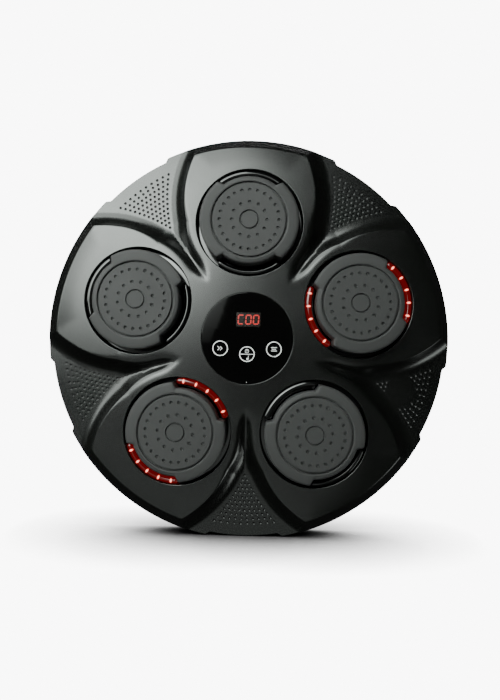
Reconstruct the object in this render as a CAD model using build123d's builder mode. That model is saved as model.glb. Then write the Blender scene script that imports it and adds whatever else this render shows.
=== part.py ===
"""Wall-hung boxing target: a round five-petal housing with five sprung striking pads.

Frame: +Z is up, the front faces -Y, and the origin is the centre of the back face, which lies
on the wall at y = 0. Heights called "height" are distances forward from the wall, in mm.
"""
from build123d import *
import math
import os

os.makedirs("parts", exist_ok=True)

FORWARD = (Align.CENTER, Align.CENTER, Align.MIN)
BACKWARD = (Align.CENTER, Align.CENTER, Align.MAX)

# ---------------------------------------------------------------- driving sizes, mm
# housing
shell_radius = 200.0
shell_depth = 44.0
shell_wall = 2.6
rim_band_width = 10.3
rim_band_depth = 10.6
petal_count = 5
first_petal_angle = 90.0
notch_step = 3.4
notch_half_angle = 10.5

# valleys between the petals
valley_depth = 11.0
valley_wall_run = 16.0
valley_tip_inset = 52.7
valley_full_inset = 19.7
valley_wall_blend = 3.0
petal_margin_round_well = 9.9
petal_side_radius = 105.0
petal_side_centre_step = 23.3
petal_side_centre_across = -39.7

# wells that hold the striking pads
well_ring_inset = 85.3
well_radius = 52.9
well_floor_height = 20.0
well_floor_thickness = 2.5

# striking pads
pad_radius = 48.7
pad_proud = 14.0
pad_travel = 3.0
pad_back_height = 31.0
pad_top_thickness = 8.0
pad_notch_floor_radius = 42.7
pad_notch_half_angle = 40.0
pad_side_wall = 4.2
pad_groove_radius = 36.5
pad_groove_width = 1.6
pad_groove_depth = 1.5
pad_centre_ring_radius = 8.8
pad_centre_ring_width = 1.4
pad_dimple_radius = 1.5
pad_dimple_depth = 1.2
pad_dimple_rings = ((29.0, 24), (17.1, 12))
pad_edge_chamfer = 1.0

# pad carrier, its guide posts and return spring
carrier_fit = 0.1
carrier_plate_thickness = 4.0
carrier_skirt_wall = 2.4
carrier_skirt_depth = 17.0
post_radius = 3.5
post_ring_radius = 26.0
post_count = 3
post_running_clearance = 0.08
bush_radius = 6.0
bush_rise = 6.0
stem_radius = 5.5
stem_hole_clearance = 1.0
stem_tip_drop = 1.5
spring_radius = 9.0
spring_wire_radius = 0.7
spring_turns = 6.5
spring_seat_wall = 0.8
spring_seat_rise = 2.0
spring_seat_clearance = 0.3
post_screw_radius = 1.2
post_screw_length = 10.0
post_screw_head_radius = 2.6
post_screw_head_height = 1.9
post_washer_radius = 6.2
post_washer_thickness = 1.0

# light ring and its LED board
board_thickness = 1.6
led_board_inner_radius = 44.2
ring_clearance = 0.5
light_ring_inner_radius = 43.8
light_ring_lift = 2.8
light_ring_thickness = 3.0
light_bar_inner_radius = 46.4
light_bar_half_angle = 38.0
light_bar_step = 0.3
light_bar_drop = 0.6
light_bar_edge_round = 1.6
led_size = 3.0
led_height = 1.4
led_arc_radius = 49.0
led_spacing_angle = 15.0
led_count_per_bar = 5
ring_foot_angle = 62.0
ring_foot_size = 4.0

# sensor switch under each well
sensor_board_length = 34.0
sensor_board_width = 22.0
sensor_board_height = 8.0
sensor_boss_offset = 13.0
sensor_boss_side = 7.5
sensor_boss_radius = 3.0
switch_body_size = 12.0
switch_body_height = 4.3
switch_bore_floor = 0.2
plunger_radius = 3.1
plunger_clearance = 0.1
plunger_engagement = 1.0
connector_length = 5.0
connector_width = 6.0
connector_height = 4.0
small_screw_radius = 1.1
small_screw_length = 8.0
small_screw_head_radius = 2.4
small_screw_head_height = 1.8
thread_fit = 0.05

# display lens and main board
lens_radius = 45.2
lens_thickness = 1.8
lens_gap = 0.4
lens_proud = 0.3
lens_window_radius = 40.0
lens_tape_thickness = 0.3
lens_seat_thickness = 3.6
main_board_radius = 51.0
main_board_height = 30.0
main_board_boss_ring = 46.0
main_board_boss_radius = 3.2
display_width = 22.6
display_height = 14.0
display_offset = 18.4
display_lens_gap = 0.6
touch_points = ((-26.5, -10.4), (0.0, -15.7), (26.5, -10.4))
touch_coil_radius = 4.0
touch_coil_wire_radius = 0.4
touch_coil_turns = 3.5

# rear cover and its fixings
cover_thickness = 2.5
cover_gap = 0.4
cover_screw_inset = 22.0
cover_screw_half_angle = 13.0
cover_inner_screw_ring = 70.0
cover_tower_radius = 6.0
cover_tower_height = 12.0
cover_screw_radius = 1.5
cover_screw_length = 16.0
cover_screw_head_radius = 3.2
cover_screw_head_height = 2.4
cover_screw_recess_depth = 8.0
cover_screw_hole_clearance = 0.3
shell_boss_radius = 4.5
cover_rib_radius = 90.0
cover_rib_width = 1.8
cover_rib_height = 1.2
keyhole_spacing = 180.0
keyhole_height = 120.0
keyhole_entry_radius = 5.0
keyhole_slot_width = 5.0
keyhole_slot_rise = 10.0
wall_pad_length = 60.0
wall_pad_width = 24.0
wall_pad_thickness = 1.0
wall_pad_fit = 0.3
wall_pad_places = ((-60.0, 95.0), (60.0, 95.0), (-70.0, -85.0), (70.0, -85.0))

# speakers, battery and charging socket
speaker_ring_inset = 42.0
speaker_radius = 20.0
speaker_magnet_radius = 11.0
speaker_frame_thickness = 3.0
speaker_depth = 14.0
speaker_gasket_thickness = 1.5
speaker_cone_radius = 16.5
grille_hole_radius = 1.6
grille_rings = ((0.1, 1), (5.0, 6), (10.0, 12), (15.0, 18))
battery_ring_inset = 42.0
battery_radius = 9.2
battery_length = 66.0
tray_wall = 1.6
tray_clearance = 0.3
tray_side_height = 12.0
socket_width = 9.0
socket_thickness = 3.2
socket_length = 7.4
socket_wall = 0.3
socket_board_width = 15.0
socket_board_length = 14.0
socket_height = 14.0
socket_hole_clearance = 0.25
socket_recess = 0.6
socket_pillar_radius = 3.0
wire_radius = 1.2
wire_height = 5.0
wire_bend = 9.0
wire_side_offset = 9.0
wire_end_gap = 0.2
harness_ring = 44.0
side_plug_radius = 36.0

# ---------------------------------------------------------------- sizes that follow
petal_pitch = 360.0 / petal_count
petal_angles = [first_petal_angle + petal_pitch * step for step in range(petal_count)]
valley_angles = [angle + petal_pitch / 2 for angle in petal_angles]
target_names = ["top", "left", "lower_left", "lower_right", "right"]
targets = list(zip(target_names, petal_angles))

well_ring_radius = shell_radius - well_ring_inset
valley_tip_radius = well_ring_radius - valley_tip_inset
valley_full_radius = well_ring_radius - valley_full_inset
petal_side_centre_along = well_ring_radius + petal_side_centre_step
cover_screw_ring = shell_radius - cover_screw_inset
speaker_ring_radius = shell_radius - speaker_ring_inset
battery_ring_radius = shell_radius - battery_ring_inset
petal_round_radius = well_radius + petal_margin_round_well
well_floor_back = well_floor_height - well_floor_thickness
pad_top_height = shell_depth + pad_proud
pad_seat_height = pad_top_height - pad_top_thickness
pad_cavity_radius = pad_notch_floor_radius - pad_side_wall
carrier_radius = pad_cavity_radius - carrier_fit
carrier_plate_back = pad_seat_height - carrier_plate_thickness
stem_tip_height = well_floor_height - stem_tip_drop
bush_bore_radius = post_radius + post_running_clearance
spring_inner_radius = spring_radius - spring_wire_radius
spring_seat_radius = spring_inner_radius - spring_seat_clearance
light_ring_outer_radius = well_radius - ring_clearance
led_board_top = well_floor_height + board_thickness
light_ring_height = led_board_top + light_ring_lift
light_bar_top = shell_depth - light_bar_drop
light_bar_rise = light_bar_top - light_ring_height
sensor_board_top = sensor_board_height + board_thickness
switch_top = sensor_board_top + switch_body_height
plunger_back = switch_top - plunger_engagement
sensor_plug_radius = well_ring_radius - sensor_board_length / 2
speaker_angles = (valley_angles[1], valley_angles[3])
battery_angle = valley_angles[2]
lens_front = shell_depth + lens_proud
lens_back = lens_front - lens_thickness
lens_seat_height = lens_back - lens_tape_thickness
lens_pocket_radius = lens_radius + lens_gap
main_board_front = main_board_height + board_thickness
shell_inner_height = shell_depth - shell_wall
cover_inset = shell_wall + cover_gap
speaker_back_height = cover_thickness + speaker_gasket_thickness
battery_height = cover_thickness + tray_wall + battery_radius


# ---------------------------------------------------------------- places and outlines
def facing(height):
    """Plane parallel to the wall at a height, looking forward, with local y up."""
    return Plane(origin=(0, -height, 0), x_dir=(1, 0, 0), z_dir=(0, -1, 0))


def spot(radius, angle, height):
    """Forward-looking plane at a polar place on the face, with local x pointing outward."""
    turn = math.radians(angle)
    outward = (math.cos(turn), 0, math.sin(turn))
    origin = (radius * outward[0], -height, radius * outward[2])
    return Plane(origin=origin, x_dir=outward, z_dir=(0, -1, 0))


def local_spot(plane, x, y, height_step=0.0):
    """Plane shifted by local x, y and a step forward."""
    return Plane(
        origin=plane.from_local_coords((x, y, height_step)),
        x_dir=plane.x_dir,
        z_dir=plane.z_dir,
    )


def radial_plane(home, turn):
    """Plane through a home plane's axis, with local x outward at turn and local y forward."""
    reach = Vector(math.cos(math.radians(turn)), math.sin(math.radians(turn)), 0)
    outward = home.from_local_coords(reach) - home.origin
    return Plane(origin=home.origin, x_dir=outward, z_dir=outward.cross(home.z_dir))


def ring_sector(inner, outer, middle, half_angle):
    """Flat sketch of a ring between two radii, half_angle either side of middle."""
    with BuildSketch() as sector:
        with BuildLine():
            start = middle - half_angle
            span = 2 * half_angle
            far = CenterArc((0, 0), outer, start, span)
            near = CenterArc((0, 0), inner, start, span)
            Line(near @ 0, far @ 0)
            Line(near @ 1, far @ 1)
        make_face()
    return sector.sketch


def side_fall(depth_in):
    """Height that a petal's flank adds at a distance out from the petal's edge."""
    share = 1 - depth_in / valley_wall_run
    if depth_in < 0:
        return valley_depth * (1 - 2 * depth_in / valley_wall_run)
    return valley_depth * max(share, 0.0) ** 2


def petal_edge_distance(x, y, petal_angle):
    """Distance from a petal's edge, positive outside it, for a point on the face.

    The edge is a round about the well, carried on by a larger arc to the rim.
    """
    turn = math.radians(petal_angle)
    along = x * math.cos(turn) + y * math.sin(turn)
    across = abs(-x * math.sin(turn) + y * math.cos(turn))
    if along < well_ring_radius:
        return math.hypot(along - well_ring_radius, across) - petal_round_radius
    reach = math.hypot(along - petal_side_centre_along, across - petal_side_centre_across)
    return reach - petal_side_radius


def valley_surface_height(radius, angle):
    """Height of the valley whose middle line is at angle 0, at a polar place."""
    x = radius * math.cos(math.radians(angle))
    y = radius * math.sin(math.radians(angle))
    flanks = [
        side_fall(petal_edge_distance(x, y, side * petal_pitch / 2)) ** valley_wall_blend
        for side in (-1, 1)
    ]
    run = (radius - valley_tip_radius) / (valley_full_radius - valley_tip_radius)
    run = min(max(run, 0.0), 1.0)
    depth = valley_depth * run * run * (3 - 2 * run)
    return shell_depth - depth + sum(flanks) ** (1 / valley_wall_blend)


def valley_half_angle(radius):
    """Angle from a valley's middle line to the petal edge at a radius, in degrees."""
    side_centre = math.hypot(petal_side_centre_along, petal_side_centre_across)
    side_turn = math.atan2(-petal_side_centre_across, petal_side_centre_along)
    side_corner = math.hypot(well_ring_radius, petal_round_radius)
    if radius < side_corner:
        centre, lean, reach = well_ring_radius, 0.0, petal_round_radius
    else:
        centre, lean, reach = side_centre, side_turn, petal_side_radius
    cosine = (radius**2 + centre**2 - reach**2) / (2 * radius * centre)
    return petal_pitch / 2 + math.degrees(lean) - math.degrees(math.acos(min(cosine, 1.0)))


def valley_cutter(drop):
    """Solid above the valley surface, which is lowered by drop, about angle 0."""
    radius_steps = 36
    angle_steps = 24
    overlap = 6.0
    first = valley_tip_radius + 2.0
    last = shell_radius + overlap
    grid = []
    for row in range(radius_steps + 1):
        radius = first + (last - first) * row / radius_steps
        reach = valley_half_angle(radius) + math.degrees(overlap / radius)
        line = []
        for column in range(angle_steps + 1):
            angle = reach * (2 * column / angle_steps - 1)
            height = valley_surface_height(radius, angle) - drop
            turn = math.radians(angle)
            line.append((radius * math.cos(turn), radius * math.sin(turn), height))
        grid.append(line)
    surface = Face.make_surface_from_array_of_points(grid, tol=0.05)
    with BuildPart() as cutter:
        extrude(to_extrude=surface, amount=shell_depth, dir=(0, 0, 1))
    return cutter.part


def housing_block(inset, foot, drop):
    """Solid of the housing's outside, moved in by inset, from foot up, with valleys cut."""
    top = shell_depth - drop
    radius = shell_radius - inset
    with BuildPart() as block:
        with BuildSketch(Plane.XY):
            with BuildLine():
                Polyline(
                    (0, -foot),
                    (radius, -foot),
                    (radius, -(top - rim_band_depth)),
                    (radius - rim_band_width, -top),
                    (0, -top),
                    close=True,
                )
            make_face()
        revolve(axis=Axis.Y)
        with BuildSketch(facing(foot)):
            for angle in valley_angles:
                inner = radius - notch_step
                add(ring_sector(inner, shell_radius + notch_step, angle, notch_half_angle))
        extrude(amount=shell_depth, mode=Mode.SUBTRACT)
        with Locations(*[spot(0, angle, 0) for angle in valley_angles]):
            add(valley_cutter(drop), mode=Mode.SUBTRACT)
    return block.part


def coil_path(radius, length, turns):
    """Helix along +Z from the origin."""
    return Helix(pitch=length / turns, height=length, radius=radius)


def pan_screws(planes, radius, length, head_radius, head_height):
    """Pan-head screws standing forward, the front of each head on its plane."""
    with BuildPart() as screws:
        with Locations(*planes):
            Cylinder(head_radius, head_height, align=BACKWARD)
            Cylinder(radius, length, align=FORWARD)
        with Locations(*[local_spot(plane, 0, 0, -head_height) for plane in planes]):
            Box(head_radius * 1.2, radius * 0.5, head_height / 2, align=FORWARD, mode=Mode.SUBTRACT)
            Box(radius * 0.5, head_radius * 1.2, head_height / 2, align=FORWARD, mode=Mode.SUBTRACT)
    return screws.part


def save(part, name):
    """Label a finished piece and write its STEP file."""
    part.label = name
    export_step(part, f"parts/{name}.step")


outer_screw_places = [
    (cover_screw_ring, angle + side * cover_screw_half_angle)
    for angle in petal_angles
    for side in (-1, 1)
]
inner_screw_places = [(cover_inner_screw_ring, angle) for angle in valley_angles]
cover_screw_places = outer_screw_places + inner_screw_places
board_screw_places = [(main_board_boss_ring, angle) for angle in valley_angles]
post_angles = [90.0 + 360.0 / post_count * step for step in range(post_count)]
post_offsets = [
    (
        post_ring_radius * math.cos(math.radians(turn)),
        post_ring_radius * math.sin(math.radians(turn)),
    )
    for turn in post_angles
]


def post_planes(angle, height):
    """Planes at one target's guide posts."""
    base = spot(well_ring_radius, angle, height)
    return [local_spot(base, x, y) for x, y in post_offsets]


def sensor_boss_planes(angle, height):
    """Planes at the two bosses, set corner to corner, that carry one sensor board."""
    base = spot(well_ring_radius, angle, height)
    return [local_spot(base, s * sensor_boss_offset, s * sensor_boss_side) for s in (-1, 1)]


def ring_planes(places, height):
    """Planes at a list of (radius, angle) places."""
    return [spot(radius, angle, height) for radius, angle in places]


# ---------------------------------------------------------------- front shell
screw_hole_radius = cover_screw_radius + thread_fit
post_hole_radius = post_screw_radius + thread_fit
small_hole_radius = small_screw_radius + thread_fit
boss_foot = cover_tower_height

with BuildPart() as front_shell:
    add(housing_block(0.0, 0.0, 0.0))
    add(housing_block(shell_wall, -1.0, shell_wall), mode=Mode.SUBTRACT)
    # well cups, lens seat and bosses
    with Locations(*[spot(well_ring_radius, angle, well_floor_back) for angle in petal_angles]):
        Cylinder(well_radius + shell_wall, shell_depth - well_floor_back, align=FORWARD)
    with Locations(*ring_planes(cover_screw_places, boss_foot)):
        Cylinder(shell_boss_radius, shell_inner_height - boss_foot + 0.5, align=FORWARD)
    seat_back = lens_seat_height - lens_seat_thickness
    with Locations(facing(seat_back)):
        Cylinder(lens_pocket_radius + shell_wall, lens_seat_thickness + 0.5, align=FORWARD)
    with Locations(*ring_planes(board_screw_places, main_board_front)):
        boss_rise = seat_back - main_board_front + 0.5
        Cylinder(main_board_boss_radius, boss_rise, align=FORWARD)
    with Locations(facing(lens_seat_height)):
        Cylinder(lens_pocket_radius, shell_depth, align=FORWARD, mode=Mode.SUBTRACT)
    with Locations(facing(seat_back - 0.5)):
        Cylinder(lens_window_radius, shell_depth, align=FORWARD, mode=Mode.SUBTRACT)
    with Locations(*[spot(well_ring_radius, angle, well_floor_height) for angle in petal_angles]):
        Cylinder(well_radius, shell_depth, align=FORWARD, mode=Mode.SUBTRACT)
    # inside each cup: guide bushes, spring seat, sensor board bosses and their holes
    for angle in petal_angles:
        floor = spot(well_ring_radius, angle, well_floor_height)
        with Locations(*post_planes(angle, well_floor_height)):
            Cylinder(bush_radius, bush_rise, align=FORWARD)
        with Locations(floor):
            Cylinder(spring_seat_radius, spring_seat_rise, align=FORWARD)
        with Locations(*sensor_boss_planes(angle, sensor_board_top)):
            boss_rise = well_floor_back - sensor_board_top + 0.5
            Cylinder(sensor_boss_radius, boss_rise, align=FORWARD)
        with Locations(*post_planes(angle, 0)):
            Cylinder(bush_bore_radius, shell_depth, align=FORWARD, mode=Mode.SUBTRACT)
        with Locations(spot(well_ring_radius, angle, 0)):
            hole_radius = stem_radius + stem_hole_clearance
            Cylinder(hole_radius, shell_depth, align=FORWARD, mode=Mode.SUBTRACT)
        with Locations(*sensor_boss_planes(angle, sensor_board_top)):
            hole_depth = small_screw_length - board_thickness
            Cylinder(small_hole_radius, hole_depth, align=FORWARD, mode=Mode.SUBTRACT)
    with Locations(*ring_planes(cover_screw_places, boss_foot)):
        hole_depth = cover_screw_length
        Cylinder(screw_hole_radius, hole_depth, align=FORWARD, mode=Mode.SUBTRACT)
    with Locations(*ring_planes(board_screw_places, main_board_front)):
        hole_depth = small_screw_length - board_thickness
        Cylinder(small_hole_radius, hole_depth, align=FORWARD, mode=Mode.SUBTRACT)
    # charging socket's opening in the skirt, at the bottom
    with Locations((0, -socket_height, -shell_radius)):
        Box(
            socket_width + 2 * socket_hole_clearance,
            socket_thickness + 2 * socket_hole_clearance,
            4 * (shell_wall + notch_step),
            mode=Mode.SUBTRACT,
        )
save(front_shell.part, "front_shell")

# ---------------------------------------------------------------- striking pads, one set each
post_screw = (post_screw_radius, post_screw_length, post_screw_head_radius, post_screw_head_height)
for target, angle in targets:
    home = spot(well_ring_radius, angle, 0)

    with BuildPart() as pad_cap:
        with Locations(local_spot(home, 0, 0, pad_back_height)):
            Cylinder(pad_radius, pad_top_height - pad_back_height, align=FORWARD)
        top_face = pad_cap.faces().sort_by(Axis.Y)[0]
        chamfer(top_face.edges(), length=pad_edge_chamfer)
        with BuildSketch(local_spot(home, 0, 0, pad_back_height)):
            for side in (0, 180):
                outer = pad_radius + ring_clearance
                add(ring_sector(pad_notch_floor_radius, outer, side, pad_notch_half_angle))
        extrude(amount=pad_top_height - pad_back_height, mode=Mode.SUBTRACT)
        with Locations(local_spot(home, 0, 0, pad_back_height)):
            depth = pad_seat_height - pad_back_height
            Cylinder(pad_cavity_radius, depth, align=FORWARD, mode=Mode.SUBTRACT)
        groove_floor = pad_top_height - pad_groove_depth
        with BuildSketch(local_spot(home, 0, 0, groove_floor)):
            for radius, width in (
                (pad_groove_radius, pad_groove_width),
                (pad_centre_ring_radius, pad_centre_ring_width),
            ):
                Circle(radius + width / 2)
                Circle(radius - width / 2, mode=Mode.SUBTRACT)
        extrude(amount=pad_groove_depth, mode=Mode.SUBTRACT)
        dimple_floor = pad_top_height - pad_dimple_depth
        with BuildSketch(local_spot(home, 0, 0, dimple_floor)):
            for ring_radius, count in pad_dimple_rings:
                with PolarLocations(ring_radius, count):
                    Circle(pad_dimple_radius)
        extrude(amount=pad_dimple_depth, mode=Mode.SUBTRACT)
    save(pad_cap.part, f"pad_cap_{target}")

    with BuildPart() as pad_carrier:
        with Locations(local_spot(home, 0, 0, carrier_plate_back)):
            Cylinder(carrier_radius, carrier_plate_thickness, align=FORWARD)
        skirt_foot = pad_seat_height - carrier_skirt_depth
        with BuildSketch(local_spot(home, 0, 0, skirt_foot)):
            Circle(carrier_radius)
            Circle(carrier_radius - carrier_skirt_wall, mode=Mode.SUBTRACT)
        extrude(amount=carrier_skirt_depth)
        with Locations(local_spot(home, 0, 0, stem_tip_height)):
            Cylinder(stem_radius, carrier_plate_back - stem_tip_height, align=FORWARD)
        with Locations(local_spot(home, 0, 0, carrier_plate_back)):
            Cylinder(spring_seat_radius, spring_seat_rise, align=BACKWARD)
        with Locations(*post_planes(angle, well_floor_back)):
            Cylinder(post_radius, carrier_plate_back - well_floor_back, align=FORWARD)
        rib_length = carrier_radius - carrier_skirt_wall - spring_radius - 2 * spring_wire_radius
        rib_middle = spring_radius + 2 * spring_wire_radius + rib_length / 2
        with BuildSketch(local_spot(home, 0, 0, carrier_plate_back)):
            with PolarLocations(rib_middle, post_count, post_angles[0] + 180.0 / post_count):
                Rectangle(rib_length, carrier_skirt_wall)
        extrude(amount=-carrier_plate_thickness)
        with Locations(*post_planes(angle, well_floor_back)):
            depth = post_screw_length
            Cylinder(post_hole_radius, depth, align=FORWARD, mode=Mode.SUBTRACT)
    save(pad_carrier.part, f"pad_carrier_{target}")

    with BuildPart() as retaining_screws:
        with Locations(*post_planes(angle, well_floor_back)):
            Cylinder(post_washer_radius, post_washer_thickness, align=BACKWARD)
        head_front = well_floor_back - post_washer_thickness
        add(pan_screws(post_planes(angle, head_front), *post_screw))
    save(retaining_screws.part, f"retaining_screws_{target}")

    with BuildPart() as return_spring:
        wire_rise = carrier_plate_back - well_floor_height - 2 * spring_wire_radius
        foot = local_spot(home, 0, 0, well_floor_height + spring_wire_radius)
        path = foot.location * coil_path(spring_radius, wire_rise, spring_turns)
        with BuildSketch(Plane(origin=path @ 0, z_dir=path % 0)):
            Circle(spring_wire_radius)
        sweep(path=path)
    save(return_spring.part, f"return_spring_{target}")

    with BuildPart() as light_ring:
        for side in (0, 180):
            with BuildSketch(radial_plane(home, side - light_bar_half_angle)) as bar_section:
                bar_width = light_ring_outer_radius - light_bar_step - light_bar_inner_radius
                bar_middle = light_bar_inner_radius + bar_width / 2
                with Locations((bar_middle, light_ring_height + light_bar_rise / 2)):
                    Rectangle(bar_width, light_bar_rise)
                fillet(bar_section.vertices().group_by(Axis.Y)[-1], light_bar_edge_round)
            revolve(axis=Axis(home.origin, home.z_dir), revolution_arc=2 * light_bar_half_angle)
        with BuildSketch(local_spot(home, 0, 0, light_ring_height)):
            Circle(light_ring_outer_radius)
            Circle(light_ring_inner_radius, mode=Mode.SUBTRACT)
        extrude(amount=light_ring_thickness)
        foot_radius = (light_ring_inner_radius + light_ring_outer_radius) / 2
        with BuildSketch(local_spot(home, 0, 0, led_board_top)):
            foot_angles = (ring_foot_angle, -ring_foot_angle)
            for turn in foot_angles + tuple(180 + foot for foot in foot_angles):
                with PolarLocations(foot_radius, 1, turn):
                    Rectangle(ring_foot_size, ring_foot_size)
        extrude(amount=light_ring_lift)
    save(light_ring.part, f"light_ring_{target}")

    with BuildPart() as led_board:
        with BuildSketch(local_spot(home, 0, 0, well_floor_height)):
            Circle(light_ring_outer_radius)
            Circle(led_board_inner_radius, mode=Mode.SUBTRACT)
        extrude(amount=board_thickness)
        with BuildSketch(local_spot(home, 0, 0, led_board_top)):
            first_led = -led_spacing_angle * (led_count_per_bar - 1) / 2
            for side in (0, 180):
                for step in range(led_count_per_bar):
                    turn = side + first_led + led_spacing_angle * step
                    with PolarLocations(led_arc_radius, 1, turn):
                        Rectangle(led_size, led_size)
        extrude(amount=led_height)
    save(led_board.part, f"led_board_{target}")

    with BuildPart() as sensor_switch:
        with Locations(local_spot(home, 0, 0, sensor_board_height)):
            Box(sensor_board_length, sensor_board_width, board_thickness, align=FORWARD)
        with Locations(local_spot(home, 0, 0, sensor_board_top)):
            Box(switch_body_size, switch_body_size, switch_body_height, align=FORWARD)
        with Locations(local_spot(home, 0, 0, sensor_board_top + switch_bore_floor)):
            bore = plunger_radius + plunger_clearance
            Cylinder(bore, switch_body_height, align=FORWARD, mode=Mode.SUBTRACT)
        connector_place = (connector_length - sensor_board_length) / 2
        with Locations(local_spot(home, connector_place, 0, sensor_board_height)):
            Box(connector_length, connector_width, connector_height, align=BACKWARD)
        with Locations(*sensor_boss_planes(angle, sensor_board_height)):
            hole = small_screw_radius + carrier_fit
            Cylinder(hole, board_thickness, align=FORWARD, mode=Mode.SUBTRACT)
    save(sensor_switch.part, f"sensor_switch_{target}")

    with BuildPart() as switch_plunger:
        with Locations(local_spot(home, 0, 0, plunger_back)):
            Cylinder(plunger_radius, stem_tip_height - plunger_back, align=FORWARD)
    save(switch_plunger.part, f"switch_plunger_{target}")

# ---------------------------------------------------------------- lens, tape and display
with BuildPart() as display_lens:
    with Locations(facing(lens_back)):
        Cylinder(lens_radius, lens_thickness, align=FORWARD)
    chamfer(display_lens.faces().sort_by(Axis.Y)[0].edges(), length=0.3)
save(display_lens.part, "display_lens")

with BuildPart() as lens_tape:
    with BuildSketch(facing(lens_seat_height)):
        Circle(lens_radius)
        Circle(lens_window_radius, mode=Mode.SUBTRACT)
    extrude(amount=lens_tape_thickness)
save(lens_tape.part, "lens_tape")

with BuildPart() as digit_display:
    with Locations(local_spot(facing(main_board_front), 0, display_offset)):
        depth = lens_back - display_lens_gap - main_board_front
        Box(display_width, display_height, depth, align=FORWARD)
save(digit_display.part, "digit_display")

with BuildPart() as touch_coils:
    rise = lens_back - main_board_front - 2 * touch_coil_wire_radius
    for x, y in touch_points:
        foot = local_spot(facing(main_board_front + touch_coil_wire_radius), x, y)
        path = foot.location * coil_path(touch_coil_radius, rise, touch_coil_turns)
        with BuildSketch(Plane(origin=path @ 0, z_dir=path % 0)):
            Circle(touch_coil_wire_radius)
        sweep(path=path)
save(touch_coils.part, "touch_coils")

# ---------------------------------------------------------------- main board
chip_places = ((-14.0, 0.0, 9.0, 9.0, 1.2), (8.0, -2.0, 14.0, 16.0, 1.8), (-30.0, 8.0, 6.0, 5.0, 1.6))
with BuildPart() as main_board:
    with Locations(facing(main_board_height)):
        Cylinder(main_board_radius, board_thickness, align=FORWARD)
    for x, y, width, height, rise in chip_places:
        with Locations(local_spot(facing(main_board_front), x, y)):
            Box(width, height, rise, align=FORWARD)
    plugs = [local_spot(spot(0, a, main_board_height), harness_ring, 0) for a in petal_angles]
    for a in speaker_angles + (battery_angle,):
        plugs.append(local_spot(spot(0, a, main_board_height), side_plug_radius, wire_side_offset))
    with Locations(*plugs):
        Box(connector_width, connector_width, connector_height, align=BACKWARD)
    with Locations(*ring_planes(board_screw_places, main_board_height)):
        hole = small_screw_radius + carrier_fit
        Cylinder(hole, board_thickness, align=FORWARD, mode=Mode.SUBTRACT)
save(main_board.part, "main_board")


small_screw = (
    small_screw_radius,
    small_screw_length - thread_fit,
    small_screw_head_radius,
    small_screw_head_height,
)
board_screw_planes = ring_planes(board_screw_places, main_board_height)
save(pan_screws(board_screw_planes, *small_screw), "main_board_screws")
sensor_screw_planes = [
    plane for angle in petal_angles for plane in sensor_boss_planes(angle, sensor_board_height)
]
save(pan_screws(sensor_screw_planes, *small_screw), "sensor_board_screws")

# ---------------------------------------------------------------- rear cover
keyhole_places = [(side * keyhole_spacing / 2, keyhole_height) for side in (-1, 1)]
speaker_names = ("left", "right")
socket_board_radius = shell_radius - notch_step - shell_wall - 2 * cover_gap
socket_board_edge = spot(socket_board_radius, battery_angle, socket_height - socket_thickness / 2)

with BuildPart() as rear_cover:
    cover_radius = shell_radius - cover_inset
    with Locations(facing(0)):
        Cylinder(cover_radius, cover_thickness, align=FORWARD)
    with BuildSketch(facing(0)):
        for angle in valley_angles:
            inner = cover_radius - notch_step
            add(ring_sector(inner, shell_radius, angle, notch_half_angle))
    extrude(amount=cover_thickness, mode=Mode.SUBTRACT)
    with BuildSketch(facing(cover_thickness)):
        Circle(cover_rib_radius + cover_rib_width / 2)
        Circle(cover_rib_radius - cover_rib_width / 2, mode=Mode.SUBTRACT)
    extrude(amount=cover_rib_height)
    with Locations(*ring_planes(cover_screw_places, 0)):
        Cylinder(cover_tower_radius, cover_tower_height, align=FORWARD)
    with Locations(*ring_planes(cover_screw_places, 0)):
        recess = cover_screw_head_radius + cover_screw_hole_clearance
        Cylinder(recess, cover_screw_recess_depth, align=FORWARD, mode=Mode.SUBTRACT)
        hole = cover_screw_radius + cover_screw_hole_clearance
        Cylinder(hole, cover_tower_height, align=FORWARD, mode=Mode.SUBTRACT)
    # keyhole slots that drop over two wall screws
    with BuildSketch(facing(0)):
        for x, y in keyhole_places:
            with Locations((x, y)):
                Circle(keyhole_entry_radius)
            with Locations((x, y + keyhole_slot_rise / 2)):
                Rectangle(keyhole_slot_width, keyhole_slot_rise)
            with Locations((x, y + keyhole_slot_rise)):
                Circle(keyhole_slot_width / 2)
    extrude(amount=cover_thickness, mode=Mode.SUBTRACT)
    # shallow pockets for the mounting pads
    with BuildSketch(facing(0)):
        with Locations(*wall_pad_places):
            Rectangle(wall_pad_length + 2 * wall_pad_fit, wall_pad_width + 2 * wall_pad_fit)
    extrude(amount=wall_pad_thickness, mode=Mode.SUBTRACT)
    # sound holes behind each speaker
    for angle in speaker_angles:
        with BuildSketch(spot(speaker_ring_radius, angle, 0)):
            for ring_radius, count in grille_rings:
                with PolarLocations(ring_radius, count):
                    Circle(grille_hole_radius)
        extrude(amount=cover_thickness, mode=Mode.SUBTRACT)
    # pillars under the charging board
    pillar_x = socket_pillar_radius - socket_board_length
    pillar_y = (socket_board_width - socket_pillar_radius) / 2
    board_back = socket_height - socket_thickness / 2 - board_thickness
    pillar_base = spot(socket_board_radius, battery_angle, cover_thickness)
    with Locations(*[local_spot(pillar_base, pillar_x, side * pillar_y) for side in (-1, 1)]):
        Cylinder(socket_pillar_radius, board_back - cover_thickness, align=FORWARD)
save(rear_cover.part, "rear_cover")

cover_screw = (
    cover_screw_radius,
    cover_screw_length,
    cover_screw_head_radius,
    cover_screw_head_height,
)
cover_screw_planes = ring_planes(cover_screw_places, cover_screw_recess_depth)
save(pan_screws(cover_screw_planes, *cover_screw), "cover_screws")

with BuildPart() as wall_pads:
    with BuildSketch(facing(0)):
        with Locations(*wall_pad_places):
            RectangleRounded(wall_pad_length, wall_pad_width, 3.0)
    extrude(amount=wall_pad_thickness)
save(wall_pads.part, "wall_pads")

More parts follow.
